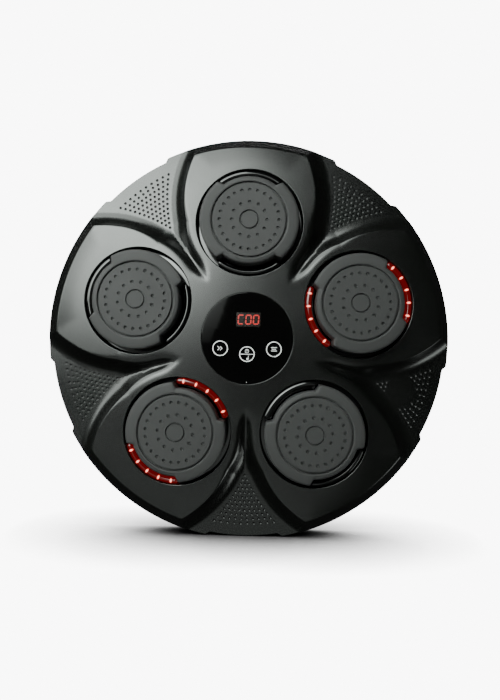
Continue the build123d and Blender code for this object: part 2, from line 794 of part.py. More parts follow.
# ---------------------------------------------------------------- speakers
for side, angle in zip(speaker_names, speaker_angles):
    base = spot(speaker_ring_radius, angle, cover_thickness)
    with BuildPart() as speaker_gasket:
        with BuildSketch(base):
            Circle(speaker_radius)
            Circle(speaker_cone_radius, mode=Mode.SUBTRACT)
        extrude(amount=speaker_gasket_thickness)
    save(speaker_gasket.part, f"speaker_gasket_{side}")

    with BuildPart() as speaker:
        rim = local_spot(base, 0, 0, speaker_gasket_thickness)
        with Locations(rim):
            Cylinder(speaker_radius, speaker_frame_thickness, align=FORWARD)
        neck = local_spot(rim, 0, 0, speaker_frame_thickness)
        magnet_rise = speaker_depth - speaker_frame_thickness
        with Locations(neck):
            Cone(speaker_cone_radius, speaker_magnet_radius, magnet_rise / 2, align=FORWARD)
        with Locations(local_spot(neck, 0, 0, magnet_rise / 2)):
            Cylinder(speaker_magnet_radius, magnet_rise / 2, align=FORWARD)
        with Locations(rim):
            Cone(
                speaker_cone_radius,
                speaker_magnet_radius / 2,
                speaker_frame_thickness,
                align=FORWARD,
                mode=Mode.SUBTRACT,
            )
    save(speaker.part, f"speaker_{side}")

# ---------------------------------------------------------------- battery and its tray
battery_base = spot(battery_ring_radius, battery_angle, cover_thickness)
with BuildPart() as battery_tray:
    outer_width = 2 * (battery_radius + tray_clearance + tray_wall)
    outer_length = battery_length + 2 * (tray_clearance + tray_wall)
    with Locations(battery_base):
        Box(outer_width, outer_length, tray_side_height + tray_wall, align=FORWARD)
    with Locations(local_spot(battery_base, 0, 0, tray_wall)):
        Box(
            2 * (battery_radius + tray_clearance),
            battery_length + 2 * tray_clearance,
            tray_side_height + tray_wall,
            align=FORWARD,
            mode=Mode.SUBTRACT,
        )
save(battery_tray.part, "battery_tray")

with BuildPart() as battery:
    middle = spot(battery_ring_radius, battery_angle, battery_height)
    lying = Plane(origin=middle.origin, x_dir=middle.x_dir, z_dir=middle.y_dir)
    with Locations(lying):
        Cylinder(battery_radius, battery_length)
save(battery.part, "battery")

# ---------------------------------------------------------------- charging socket
with BuildPart() as charging_socket:
    mouth = spot(shell_radius - notch_step - socket_recess, battery_angle, socket_height)
    with Locations(local_spot(mouth, -socket_length / 2, 0)):
        Box(socket_length, socket_width, socket_thickness)
    bore_length = socket_length - socket_wall
    with Locations(local_spot(mouth, -bore_length / 2, 0)):
        Box(
            bore_length,
            socket_width - 2 * socket_wall,
            socket_thickness - 2 * socket_wall,
            mode=Mode.SUBTRACT,
        )
    with Locations(local_spot(socket_board_edge, -socket_board_length / 2, 0)):
        Box(socket_board_length, socket_board_width, board_thickness, align=BACKWARD)
save(charging_socket.part, "charging_socket")

# ---------------------------------------------------------------- internal wires
tray_back_radius = battery_ring_radius - outer_width / 2
speaker_reach = math.sqrt(speaker_radius**2 - (wire_side_offset - wire_radius) ** 2)
wire_ends = [(angle, harness_ring, 0.0, sensor_plug_radius) for angle in petal_angles]
for angle in speaker_angles:
    wire_ends.append((angle, side_plug_radius, wire_side_offset, speaker_ring_radius - speaker_reach))
wire_ends.append((battery_angle, side_plug_radius, wire_side_offset, tray_back_radius))
with BuildPart() as wire_harness:
    for angle, start_radius, offset, reach in wire_ends:
        start = local_spot(spot(0, angle, main_board_height - connector_height), start_radius, offset)
        low = local_spot(spot(0, angle, wire_height), start_radius, offset)
        end = local_spot(spot(0, angle, wire_height), reach - wire_end_gap, offset)
        with BuildLine():
            route = FilletPolyline(start.origin, low.origin, end.origin, radius=wire_bend)
        with BuildSketch(Plane(origin=start.origin, z_dir=(0, 1, 0))):
            Circle(wire_radius)
        sweep(path=route)
    tray_outside = spot(battery_ring_radius + outer_width / 2, battery_angle, board_back)
    lead_start = local_spot(tray_outside, wire_end_gap, 0, board_thickness / 2)
    board_inner_radius = socket_board_radius - socket_board_length
    lead_length = board_inner_radius - battery_ring_radius - outer_width / 2 - 2 * wire_end_gap
    with BuildSketch(Plane(origin=lead_start.origin, z_dir=lead_start.x_dir)):
        Circle(wire_radius)
    extrude(amount=lead_length)
save(wire_harness.part, "wire_harness")
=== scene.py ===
"""Wall-hung boxing target: the finished look of every piece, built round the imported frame.

Shapes are worked out in millimetres as (x, y, height): x right and y up on the face, height
forward from the wall. Everything is turned to the frame's metres when a mesh is made.
"""
import math

import bpy
import numpy as np
from mathutils import Matrix, Vector
from mathutils.geometry import delaunay_2d_cdt


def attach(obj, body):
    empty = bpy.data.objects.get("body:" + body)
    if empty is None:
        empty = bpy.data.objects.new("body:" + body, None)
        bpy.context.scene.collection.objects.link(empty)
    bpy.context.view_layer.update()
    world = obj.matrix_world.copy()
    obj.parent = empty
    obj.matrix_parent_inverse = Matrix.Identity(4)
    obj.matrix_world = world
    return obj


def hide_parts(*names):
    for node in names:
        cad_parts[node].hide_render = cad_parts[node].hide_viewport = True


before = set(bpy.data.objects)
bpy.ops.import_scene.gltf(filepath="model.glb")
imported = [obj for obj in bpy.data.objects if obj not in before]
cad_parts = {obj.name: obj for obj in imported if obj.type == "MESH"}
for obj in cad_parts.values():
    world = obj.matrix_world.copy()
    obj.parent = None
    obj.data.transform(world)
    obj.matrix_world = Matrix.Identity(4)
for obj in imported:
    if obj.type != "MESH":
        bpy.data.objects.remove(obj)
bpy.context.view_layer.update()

# ---------------------------------------------------------------- sizes, mm
SHELL_RADIUS = 200.0
SHELL_DEPTH = 44.0
SHELL_WALL = 2.6
BAND_WIDTH = 10.3
BAND_DEPTH = 10.6
NOTCH_STEP = 3.4
NOTCH_HALF_ANGLE = 10.5
NOTCH_SHOULDER_ANGLE = 1.5
PETAL_ANGLES = [90.0 + 72.0 * step for step in range(5)]
VALLEY_ANGLES = [angle + 36.0 for angle in PETAL_ANGLES]
TARGETS = ["top", "left", "lower_left", "lower_right", "right"]
LIT_TARGETS = ("lower_left", "right")

VALLEY_DEPTH = 11.0
VALLEY_RUN = 16.0
VALLEY_TIP = 62.0
VALLEY_FULL = 95.0
PETAL_ROUND = 62.8
PETAL_SIDE_RADIUS = 105.0
PETAL_SIDE_CENTRE = (138.0, -39.7)
EDGE_SOFTNESS = 0.28
TIP_SOFTNESS = 2.4

WELL_RING = 114.7
WELL_RADIUS = 52.9
WELL_FLOOR = 20.0
WELL_FLOOR_BACK = 17.5
LIP = 0.9
STEM_HOLE = 6.5
SEAT_RADIUS = 8.0
SEAT_RISE = 2.0
BUSH_RADIUS = 6.0
BUSH_BORE = 3.58
BUSH_RISE = 6.0
POST_RING = 26.0

LENS_RADIUS = 45.2
LENS_POCKET = 45.6
LENS_WINDOW = 40.0
LENS_SEAT = 42.2

DISPLAY_RISE = 18.4
TOUCH_PLACES = ((-26.5, -10.4), (0.0, -15.7), (26.5, -10.4))
TOUCH_RADIUS = 7.65
TOUCH_BORE = 6.75
MARK_STROKE = 0.7
LENS_SEAT_BACK = 38.6
LENS_SEAT_RIM = 48.2
LENS_BACK = 42.5
LENS_FRONT = 44.3

PAD_RADIUS = 48.7
PAD_TOP = 58.0
PAD_BACK = 31.0
PAD_SEAT = 50.0
PAD_CAVITY = 38.5
PAD_NOTCH_FLOOR = 42.7
PAD_NOTCH_START = 36.0
PAD_NOTCH_END = 41.5
PAD_GROOVE = 36.5
PAD_CENTRE_RING = 8.8
PAD_DIMPLE_RINGS = ((29.0, 24), (17.1, 12))

BAR_INNER = 46.4
BAR_OUTER = 52.1
BAR_HALF_ANGLE = 38.0
BAR_TOP = 43.4
RING_BACK = 24.4
RING_FRONT = 27.4
RING_INNER = 43.8
RING_OUTER = 52.4
LED_SPACING = 15.0

SOCKET_HEIGHT = 14.0
SOCKET_HALF_ANGLE = 1.5
SOCKET_HALF_THICK = 1.85


# ---------------------------------------------------------------- small maths
def smooth(low, high, x):
    """Smooth step: 0 below low, 1 above high, and 3t^2 - 2t^3 between."""
    t = np.clip((x - low) / (high - low), 0.0, 1.0)
    return t * t * (3 - 2 * t)


def softer_low(a, b, k):
    """The lower of two surfaces, with their meeting edge rounded by k."""
    low = np.minimum(a, b)
    return low - k * np.log(np.exp(-(a - low) / k) + np.exp(-(b - low) / k))


def circle(radius, count, middle=(0.0, 0.0), turn=0.0):
    """count points round a circle as an array of x, y."""
    angle = math.radians(turn) + np.arange(count) * 2 * math.pi / count
    return np.stack([middle[0] + radius * np.cos(angle), middle[1] + radius * np.sin(angle)], 1)


def turned(points, degrees):
    """x, y (and height) turned about the origin of the face."""
    c, s = math.cos(math.radians(degrees)), math.sin(math.radians(degrees))
    out = np.array(points, dtype=float)
    x, y = out[:, 0].copy(), out[:, 1].copy()
    out[:, 0], out[:, 1] = c * x - s * y, s * x + c * y
    return out


# ---------------------------------------------------------------- patches of mesh
class Patches:
    """Patches of vertices and triangles that are welded where they meet."""

    def __init__(self):
        self.points, self.faces, self.count = [], [], 0

    def add(self, points, faces):
        self.points.append(np.asarray(points, dtype=float))
        self.faces.append(np.asarray(faces, dtype=np.int64) + self.count)
        self.count += len(points)

    def grid(self, block, wrap=False, skip=None):
        """A block of rows x columns x 3 points; wrap joins the last column to the first."""
        rows, columns = block.shape[:2]
        index = np.arange(rows * columns).reshape(rows, columns)
        right = np.roll(index, -1, axis=1) if wrap else index[:, 1:]
        left = index if wrap else index[:, :-1]
        a, b, c, d = left[:-1], right[:-1], right[1:], left[1:]
        keep = np.ones(a.shape, bool) if skip is None else ~skip
        a, b, c, d = a[keep], b[keep], c[keep], d[keep]
        quads = np.concatenate([np.stack([a, b, c], -1), np.stack([a, c, d], -1)])
        self.add(block.reshape(-1, 3), quads.reshape(-1, 3))

    def welded(self):
        """All patches as one vertex array and one face array, equal points made one."""
        points = np.concatenate(self.points)
        faces = np.concatenate(self.faces)
        _, first, where = np.unique(
            np.round(points * 2000).astype(np.int64), axis=0, return_index=True, return_inverse=True
        )
        faces = where.reshape(-1)[faces]
        solid = (
            (faces[:, 0] != faces[:, 1]) & (faces[:, 1] != faces[:, 2]) & (faces[:, 0] != faces[:, 2])
        )
        return points[first], faces[solid]


def turned_strip(radii, heights, count, middle=(0.0, 0.0), turn=0.0):
    """Profile of (radius, height) carried round a circle: rows are profile steps."""
    rows = [
        np.column_stack([circle(r, count, middle, turn), np.full(count, h)])
        for r, h in zip(radii, heights)
    ]
    return np.stack(rows)


def triangulate(points, loops):
    """Flat triangles through scattered points, with each loop of point numbers kept as edges."""
    edges = [(int(a), int(b)) for loop in loops for a, b in zip(loop, np.roll(loop, -1))]
    out = delaunay_2d_cdt([Vector((float(x), float(y))) for x, y in points], edges, [], 0, 1e-6)
    flat = np.array([(v.x, v.y) for v in out[0]])
    faces = np.array([tuple(f) for f in out[2]], dtype=np.int64)
    a, b, c = flat[faces[:, 0]], flat[faces[:, 1]], flat[faces[:, 2]]
    area = (b[:, 0] - a[:, 0]) * (c[:, 1] - a[:, 1]) - (c[:, 0] - a[:, 0]) * (b[:, 1] - a[:, 1])
    faces[area < 0] = faces[area < 0][:, ::-1]
    return flat, faces[np.abs(area) > 1e-9]


def centres(flat, faces):
    return flat[faces].mean(axis=1)


def make_piece(name, patches, body, replaced=(), sharp=30.0, normals=None, uv=None):
    """Object from patches in mm. normals gives each point's own normal, or zeros for none."""
    points, faces = patches.welded()
    world = np.stack([points[:, 0], -points[:, 2], points[:, 1]], 1) * 0.001
    mesh = bpy.data.meshes.new(name)
    mesh.from_pydata(world.tolist(), [], faces.tolist())
    mesh.update()
    mesh.shade_smooth()
    mesh.set_sharp_from_angle(angle=math.radians(sharp))
    if normals is not None:
        local = normals(points)
        own = np.stack([local[:, 0], -local[:, 2], local[:, 1]], 1)
        corner = np.zeros(len(mesh.loops), dtype=np.int64)
        mesh.loops.foreach_get("vertex_index", corner)
        mesh.normals_split_custom_set(own[corner].tolist())
    if uv is not None:
        corner = np.zeros(len(mesh.loops), dtype=np.int64)
        mesh.loops.foreach_get("vertex_index", corner)
        layer = mesh.uv_layers.new(name="run")
        layer.data.foreach_set("uv", uv(points)[corner].astype(np.float32).ravel())
    piece = bpy.data.objects.new(name, mesh)
    bpy.context.scene.collection.objects.link(piece)
    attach(piece, body)
    if replaced:
        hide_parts(*replaced)
    return piece


# ---------------------------------------------------------------- the face of the front shell
def rim_radius(angle):
    """Outer radius at an angle in degrees: full, less a step inside each notch, S-shaped ends."""
    off = np.abs((angle - VALLEY_ANGLES[0] + 36.0) % 72.0 - 36.0)
    low, high = NOTCH_HALF_ANGLE - NOTCH_SHOULDER_ANGLE / 2, NOTCH_HALF_ANGLE + NOTCH_SHOULDER_ANGLE / 2
    return SHELL_RADIUS - NOTCH_STEP * (1 - smooth(low, high, off))


def petal_distance(x, y, side):
    """Distance outside the edge of the petal at side * 36 degrees; the edge is two arcs."""
    turn = math.radians(36.0 * side)
    along = x * math.cos(turn) + y * math.sin(turn)
    across = np.abs(-x * math.sin(turn) + y * math.cos(turn))
    round_part = np.hypot(along - WELL_RING, across) - PETAL_ROUND
    side_part = (
        np.hypot(along - PETAL_SIDE_CENTRE[0], across - PETAL_SIDE_CENTRE[1]) - PETAL_SIDE_RADIUS
    )
    return np.where(along < WELL_RING, round_part, side_part)


def flank(distance):
    """Rise of a valley wall: a parabola that dies out at the run, straight past the edge."""
    inside = VALLEY_DEPTH * np.clip(1 - distance / VALLEY_RUN, 0, None) ** 2
    outside = VALLEY_DEPTH * (1 - 2 * distance / VALLEY_RUN)
    return np.where(distance < 0, outside, inside)


def fold(x, y):
    """Radius, and x, y turned so that the nearest valley's middle line is the x axis."""
    radius = np.hypot(x, y)
    angle = np.degrees(np.arctan2(y, x))
    off = np.radians((angle - VALLEY_ANGLES[0] + 36.0) % 72.0 - 36.0)
    return radius, radius * np.cos(off), radius * np.sin(off)


def valley_height(x, y):
    """Valley floor plus the larger of its two flanks, blended as a cube mean."""
    radius, vx, vy = fold(x, y)
    walls = flank(petal_distance(vx, vy, 1)) ** 3 + flank(petal_distance(vx, vy, -1)) ** 3
    depth = VALLEY_DEPTH * smooth(VALLEY_TIP, VALLEY_FULL, radius)
    return SHELL_DEPTH - depth + walls ** (1 / 3)


def cap_height(x, y):
    """Petal top: flat, then down the rim band, with a soft edge between."""
    over = (np.hypot(x, y) - (SHELL_RADIUS - BAND_WIDTH)) * BAND_DEPTH / BAND_WIDTH
    k = 0.5
    return SHELL_DEPTH - k * np.log1p(np.exp(np.clip(over / k, -40, 40)))


DIMPLE_RADIUS = 1.25
DIMPLE_DEPTH = 0.85


def dimple_field():
    """Dimple centres of one valley, its middle line along x: rows that widen outward.

    The rows run between an inner tip and two outer corners, the sides bowed in slightly.
    """
    rows, tip, outer, half_angle = 12, 136.7, 184.4, 9.25
    places = []
    for row in range(rows):
        share = row / (rows - 1)
        radius = tip + (outer - tip) * share
        reach = half_angle * share * (0.72 + 0.28 * share) * outer / radius
        count = min(row + 1, 10)
        for column in range(count):
            off = 0.0 if count == 1 else reach * (2 * column / (count - 1) - 1)
            places.append((radius * math.cos(math.radians(off)), radius * math.sin(math.radians(off))))
    return np.array(places)


def blank_badge(places):
    """Drops the dimples inside the plain round patch of one valley."""
    return places[np.hypot(places[:, 0] - 162.0, places[:, 1]) > 15.5]


def all_dimples():
    field = dimple_field()
    out = []
    for angle in VALLEY_ANGLES:
        chosen = blank_badge(field) if abs(angle % 360 - 342.0) < 1 else field
        out.append(turned(chosen, angle))
    return np.concatenate(out)


def dimple_drop(x, y, places):
    """Depth of the round cups: a smooth bowl over each dimple's radius."""
    drop = np.zeros(len(x))
    for start in range(0, len(x), 4000):
        part = slice(start, start + 4000)
        gap = np.hypot(x[part, None] - places[:, 0], y[part, None] - places[:, 1]).min(axis=1)
        drop[part] = DIMPLE_DEPTH * (1 - smooth(0.25 * DIMPLE_RADIUS, 1.12 * DIMPLE_RADIUS, gap))
    return drop


def edge_softness(x, y):
    """Rounding of the petal edges: none at the middle, broad where a valley starts, crisp at the rim."""
    radius = np.hypot(x, y)
    broad = TIP_SOFTNESS * (1 - smooth(100.0, 165.0, radius))
    return 0.0005 + smooth(60.0, 88.0, radius) * (EDGE_SOFTNESS + broad)


def face_height(x, y, places=None):
    """Height of the shell's face above the wall at x, y."""
    height = softer_low(valley_height(x, y), cap_height(x, y), edge_softness(x, y))
    if places is not None:
        height = height - dimple_drop(x, y, places)
    return height


def crease_lines():
    """Points beside each valley's edge, where its wall meets the petal top, at set offsets."""
    radii = np.concatenate([np.arange(74.0, 180.0, 1.6), np.arange(180.0, 198.0, 0.8)])
    low, high = np.zeros(len(radii)), np.full(len(radii), 30.0)
    for _ in range(40):
        middle = (low + high) / 2
        x = radii * np.cos(np.radians(middle + VALLEY_ANGLES[0]))
        y = radii * np.sin(np.radians(middle + VALLEY_ANGLES[0]))
        above = valley_height(x, y) > cap_height(x, y)
        high = np.where(above, middle, high)
        low = np.where(above, low, middle)
    open_part = high > 0.35
    radii, edge = radii[open_part], high[open_part]
    lines = []
    for offset in (-1.6, -0.8, -0.4, 0.0, 0.4, 0.8, 1.6, 2.8, 4.4, 6.4):
        angle = edge + np.degrees(offset / radii)
        for side in (-1, 1):
            turn = np.radians(side * angle)
            line = np.stack([radii * np.cos(turn), radii * np.sin(turn)], 1)
            lines.append(line[angle > 0.3])
    return radii, edge, lines


def shell_points(places):
    """All the points of the face, and the closed loops that its edges follow."""
    rim_count, well_count = 720, 128
    rim_angle = np.arange(rim_count) * 360.0 / rim_count
    points, loops, total = [], {}, 0

    def take(block, name=None):
        nonlocal total
        if name is not None:
            loops[name] = np.arange(total, total + len(block))
        points.append(block)
        total += len(block)

    def rim_ring(inset):
        radius = rim_radius(rim_angle) - inset
        turn = np.radians(rim_angle)
        return np.stack([radius * np.cos(turn), radius * np.sin(turn)], 1)

    take(rim_ring(0.8), "rim")
    take(rim_ring(3.0), "inner_rim")
    for inset in (1.7, 4.6, 6.6, 8.4):
        take(rim_ring(inset))
    for radius in (188.6, 189.3, 189.9, 190.6):
        take(circle(radius, rim_count))
    for number, angle in enumerate(PETAL_ANGLES):
        middle = (WELL_RING * math.cos(math.radians(angle)), WELL_RING * math.sin(math.radians(angle)))
        take(circle(WELL_RADIUS + LIP, well_count, middle, angle), f"well_{number}")
        take(circle(WELL_RADIUS + SHELL_WALL, well_count, middle, angle), f"cup_{number}")
    take(circle(LENS_POCKET + LIP / 2, well_count), "pocket")
    take(circle(LENS_SEAT_RIM, well_count), "seat")
    for radius in np.arange(50.0, 100.0, 2.6):
        ring = circle(radius, int(2.2 * radius), turn=7.0 * radius)
        home = [turned([[WELL_RING, 0.0]], angle)[0] for angle in PETAL_ANGLES]
        gap = np.min([np.hypot(*(ring - spot).T) for spot in home], axis=0)
        clear = (gap > WELL_RADIUS + SHELL_WALL + 1.2) & (valley_height(*ring.T) > SHELL_DEPTH - 1.0)
        take(ring[clear])
    radii, edge, lines = crease_lines()
    rings = [(0.0, 1), (0.45, 6), (0.85, 8), (1.12, 8), (1.5, 8)]
    for angle in VALLEY_ANGLES:
        for line in lines:
            radius = np.hypot(line[:, 0], line[:, 1])
            take(turned(line[radius < 188.0], angle))
            rim_part = line[radius >= 188.0]
            rim_part = turned(rim_part, angle)
            limit = rim_radius(np.degrees(np.arctan2(rim_part[:, 1], rim_part[:, 0]))) - 1.3
            take(rim_part[np.hypot(rim_part[:, 0], rim_part[:, 1]) < limit])
        floor = []
        for radius in np.arange(78.0, 194.0, 2.4):
            reach = np.interp(radius, radii, edge) - math.degrees(2.4 / radius)
            count = int(math.radians(2 * reach) * radius / 2.4)
            if count > 1:
                turn = np.radians(np.linspace(-reach, reach, count))
                floor.append(np.stack([radius * np.cos(turn), radius * np.sin(turn)], 1))
        floor = turned(np.concatenate(floor), angle)
        gap = np.hypot(floor[:, None, 0] - places[:, 0], floor[:, None, 1] - places[:, 1]).min(axis=1)
        take(floor[gap > 2.3])
    for radius, count in rings:
        for place_turn in range(count):
            turn = 2 * math.pi * place_turn / count
            take(places + [radius * math.cos(turn), radius * math.sin(turn)])
    return np.concatenate(points), loops, rim_angle


def socket_opening(block):
    """Quads of a skirt block that the charging socket's opening takes out."""
    angle = np.degrees(np.arctan2(block[..., 1], block[..., 0]))
    off = np.abs((angle + 90.0 + 180.0) % 360.0 - 180.0)
    near = off <= SOCKET_HALF_ANGLE + 0.01
    tall = np.abs(block[..., 2] - SOCKET_HEIGHT) <= SOCKET_HALF_THICK + 0.01
    corner = near & tall
    return corner[:-1] & np.roll(corner, -1, axis=1)[:-1] & corner[1:] & np.roll(corner, -1, axis=1)[1:]


def on_face(block):
    """Strip whose rows at the face's or the inner skin's nominal height are set exactly on it."""
    for nominal, drop in ((SHELL_DEPTH, 0.0), (SHELL_DEPTH - SHELL_WALL, SHELL_WALL)):
        rows = np.abs(block[:, 0, 2] - nominal) < 1e-9
        block[rows, :, 2] = face_height(block[rows, :, 0], block[rows, :, 1]) - drop
    return block


def make_front_shell(material):
    """The whole moulding: face, skirt, five cups, lens seat, and the inner skin behind them."""
    places = all_dimples()
    scattered, loops, rim_angle = shell_points(places)
    flat, faces = triangulate(scattered, list(loops.values()))
    middle = centres(flat, faces)
    angle = np.degrees(np.arctan2(middle[:, 1], middle[:, 0]))
    radius = np.hypot(middle[:, 0], middle[:, 1])
    wells = [
        (WELL_RING * math.cos(math.radians(a)), WELL_RING * math.sin(math.radians(a)))
        for a in PETAL_ANGLES
    ]
    to_well = np.min([np.hypot(middle[:, 0] - x, middle[:, 1] - y) for x, y in wells], axis=0)
    well_edge, cup_edge = WELL_RADIUS + LIP, WELL_RADIUS + SHELL_WALL
    small = math.cos(math.pi / 128)
    front = (radius < rim_radius(angle) - 0.8) & (to_well > well_edge * small)
    front &= radius > (LENS_POCKET + LIP / 2) * small
    back = (radius < rim_radius(angle) - 3.0) & (to_well > cup_edge * small)
    back &= radius > LENS_SEAT_RIM * small
    shell = Patches()
    top = face_height(flat[:, 0], flat[:, 1], places)
    smooth_top = face_height(flat[:, 0], flat[:, 1])
    shell.add(np.column_stack([flat, top]), faces[front])
    shell.add(np.column_stack([flat, smooth_top - SHELL_WALL]), faces[back][:, ::-1])

    # skirt: rolled outer edge, outer wall, foot, inner wall, up to the inner skin
    turn = np.radians(rim_angle)
    rim = rim_radius(rim_angle)
    slot_rows = [SOCKET_HEIGHT + SOCKET_HALF_THICK, SOCKET_HEIGHT - SOCKET_HALF_THICK]
    edge_x, edge_y = (rim - 0.8) * np.cos(turn), (rim - 0.8) * np.sin(turn)
    high = face_height(edge_x, edge_y)
    profile = [(0.8, high), (0.4, high - 0.12), (0.12, high - 0.45), (0.0, high - 0.95)]
    profile += [(0.0, high * 0 + h) for h in (24.0, *slot_rows, 6.0, 0.8)]
    profile += [(0.25, high * 0 + 0.25), (0.8, high * 0), (SHELL_WALL - 0.3, high * 0)]
    inset, low = 3.0, face_height((rim - 3.0) * np.cos(turn), (rim - 3.0) * np.sin(turn)) - SHELL_WALL
    profile += [(SHELL_WALL, high * 0 + h) for h in (0.3, slot_rows[1], slot_rows[0], 24.0)]
    profile += [(SHELL_WALL, low - 0.4), (inset, low)]
    block = np.stack(
        [np.stack([(rim - i) * np.cos(turn), (rim - i) * np.sin(turn), h], 1) for i, h in profile]
    )
    gone = socket_opening(block)
    shell.grid(block[::-1], wrap=True, skip=gone[::-1])
    outer_row, inner_row = 5, 13
    opening = np.flatnonzero(gone[outer_row])
    columns = np.append(opening, opening[-1] + 1)
    for row, other, flip in ((outer_row, inner_row + 1, False), (outer_row + 1, inner_row, True)):
        wall = np.stack([block[row][columns], block[other][columns]])
        shell.grid(wall if flip else wall[::-1])
    for column, flip in ((columns[0], True), (columns[-1], False)):
        wall = np.stack(
            [block[[outer_row, outer_row + 1], column], block[[inner_row + 1, inner_row], column]]
        )
        shell.grid(wall if flip else wall[::-1])

    # lens seat
    pocket = [(LENS_POCKET + LIP / 2, SHELL_DEPTH), (LENS_POCKET + 0.12, SHELL_DEPTH - 0.12)]
    pocket += [(LENS_POCKET, SHELL_DEPTH - 0.45), (LENS_POCKET, LENS_SEAT), (LENS_WINDOW, LENS_SEAT)]
    pocket += [(LENS_WINDOW, LENS_SEAT_BACK), (LENS_SEAT_RIM, LENS_SEAT_BACK)]
    pocket += [(LENS_SEAT_RIM, SHELL_DEPTH - SHELL_WALL)]
    radii, heights = zip(*pocket)
    shell.grid(on_face(turned_strip(radii, heights, 128)), wrap=True)

    # cups
    bush_places = [(POST_RING * math.cos(a), POST_RING * math.sin(a)) for a in np.radians([90, 210, 330])]
    holes = [(0.0, 0.0, STEM_HOLE, SEAT_RADIUS, WELL_FLOOR + SEAT_RISE)]
    holes += [(x, y, BUSH_BORE, BUSH_RADIUS, WELL_FLOOR + BUSH_RISE) for x, y in bush_places]
    for number, petal in enumerate(PETAL_ANGLES):
        place = wells[number]
        lip = [(WELL_RADIUS + LIP, SHELL_DEPTH), (WELL_RADIUS + 0.5, SHELL_DEPTH - 0.08)]
        lip += [(WELL_RADIUS + 0.2, SHELL_DEPTH - 0.3), (WELL_RADIUS, SHELL_DEPTH - 0.8)]
        lip += [(WELL_RADIUS, WELL_FLOOR + 1.0), (WELL_RADIUS - 0.3, WELL_FLOOR + 0.3)]
        lip += [(WELL_RADIUS - 1.0, WELL_FLOOR)]
        radii, heights = zip(*lip)
        shell.grid(on_face(turned_strip(radii, heights, 128, place, petal)), wrap=True)
        radii, heights = (cup_edge, cup_edge), (WELL_FLOOR_BACK, SHELL_DEPTH - SHELL_WALL)
        shell.grid(on_face(turned_strip(radii, heights, 128, place, petal)), wrap=True)
        for outer, height, choice, flip in (
            (WELL_RADIUS - 1.0, WELL_FLOOR, 3, False),
            (cup_edge, WELL_FLOOR_BACK, 2, True),
        ):
            rings = [circle(outer, 128)] + [circle(h[choice], 32, h[:2]) for h in holes]
            starts = np.cumsum([0] + [len(r) for r in rings])
            kept = [np.arange(a, b) for a, b in zip(starts[:-1], starts[1:])]
            sheet, cells = triangulate(np.concatenate(rings), kept)
            inside = centres(sheet, cells)
            ratios = [np.hypot(inside[:, 0] - h[0], inside[:, 1] - h[1]) / h[choice] for h in holes]
            clear = np.min(ratios, axis=0)
            cells = cells[clear > math.cos(math.pi / 32)]
            world = turned(np.column_stack([sheet, np.full(len(sheet), height)]), petal)
            world[:, :2] += place
            shell.add(world, cells[:, ::-1] if flip else cells)
        for x, y, bore, outer, crest in holes:
            spot = turned(np.array([[x, y]]), petal)[0] + place
            steps = [(outer, WELL_FLOOR), (outer, crest - 0.4), (outer - 0.4, crest)]
            steps += [(bore + 0.3, crest), (bore, crest - 0.3), (bore, WELL_FLOOR_BACK)]
            radii, heights = zip(*steps)
            shell.grid(turned_strip(radii, heights, 32, spot, petal)[::-1], wrap=True)

    def own_normals(points):
        """Slope of the face function at points that lie on the face; zero elsewhere."""
        x, y, h = points.T
        d = 0.02
        out = np.zeros((len(points), 3))
        on_face = np.abs(face_height(x, y, places) - h) < 1e-3
        on_face &= np.hypot(x, y) < rim_radius(np.degrees(np.arctan2(y, x))) - 0.79
        fx, fy = x[on_face], y[on_face]
        gx = (face_height(fx + d, fy, places) - face_height(fx - d, fy, places)) / (2 * d)
        gy = (face_height(fx, fy + d, places) - face_height(fx, fy - d, places)) / (2 * d)
        normal = np.stack([-gx, -gy, np.ones(len(gx))], 1)
        out[on_face] = normal / np.linalg.norm(normal, axis=1, keepdims=True)
        return out

    piece = make_piece(
        "front_shell_moulding", shell, "housing", ["front_shell"], 32.0, own_normals
    )
    piece.data.materials.append(material)
    return piece


# ---------------------------------------------------------------- striking pads
def pad_outline(phi):
    """Pad radius at a local angle: the notch floor near 0 and 180 degrees, round elsewhere."""
    off = np.minimum(np.abs((phi + 180.0) % 360.0 - 180.0), np.abs(phi % 360.0 - 180.0))
    share = smooth(PAD_NOTCH_START, PAD_NOTCH_END, off)
    return PAD_NOTCH_FLOOR + (PAD_RADIUS - PAD_NOTCH_FLOOR) * share


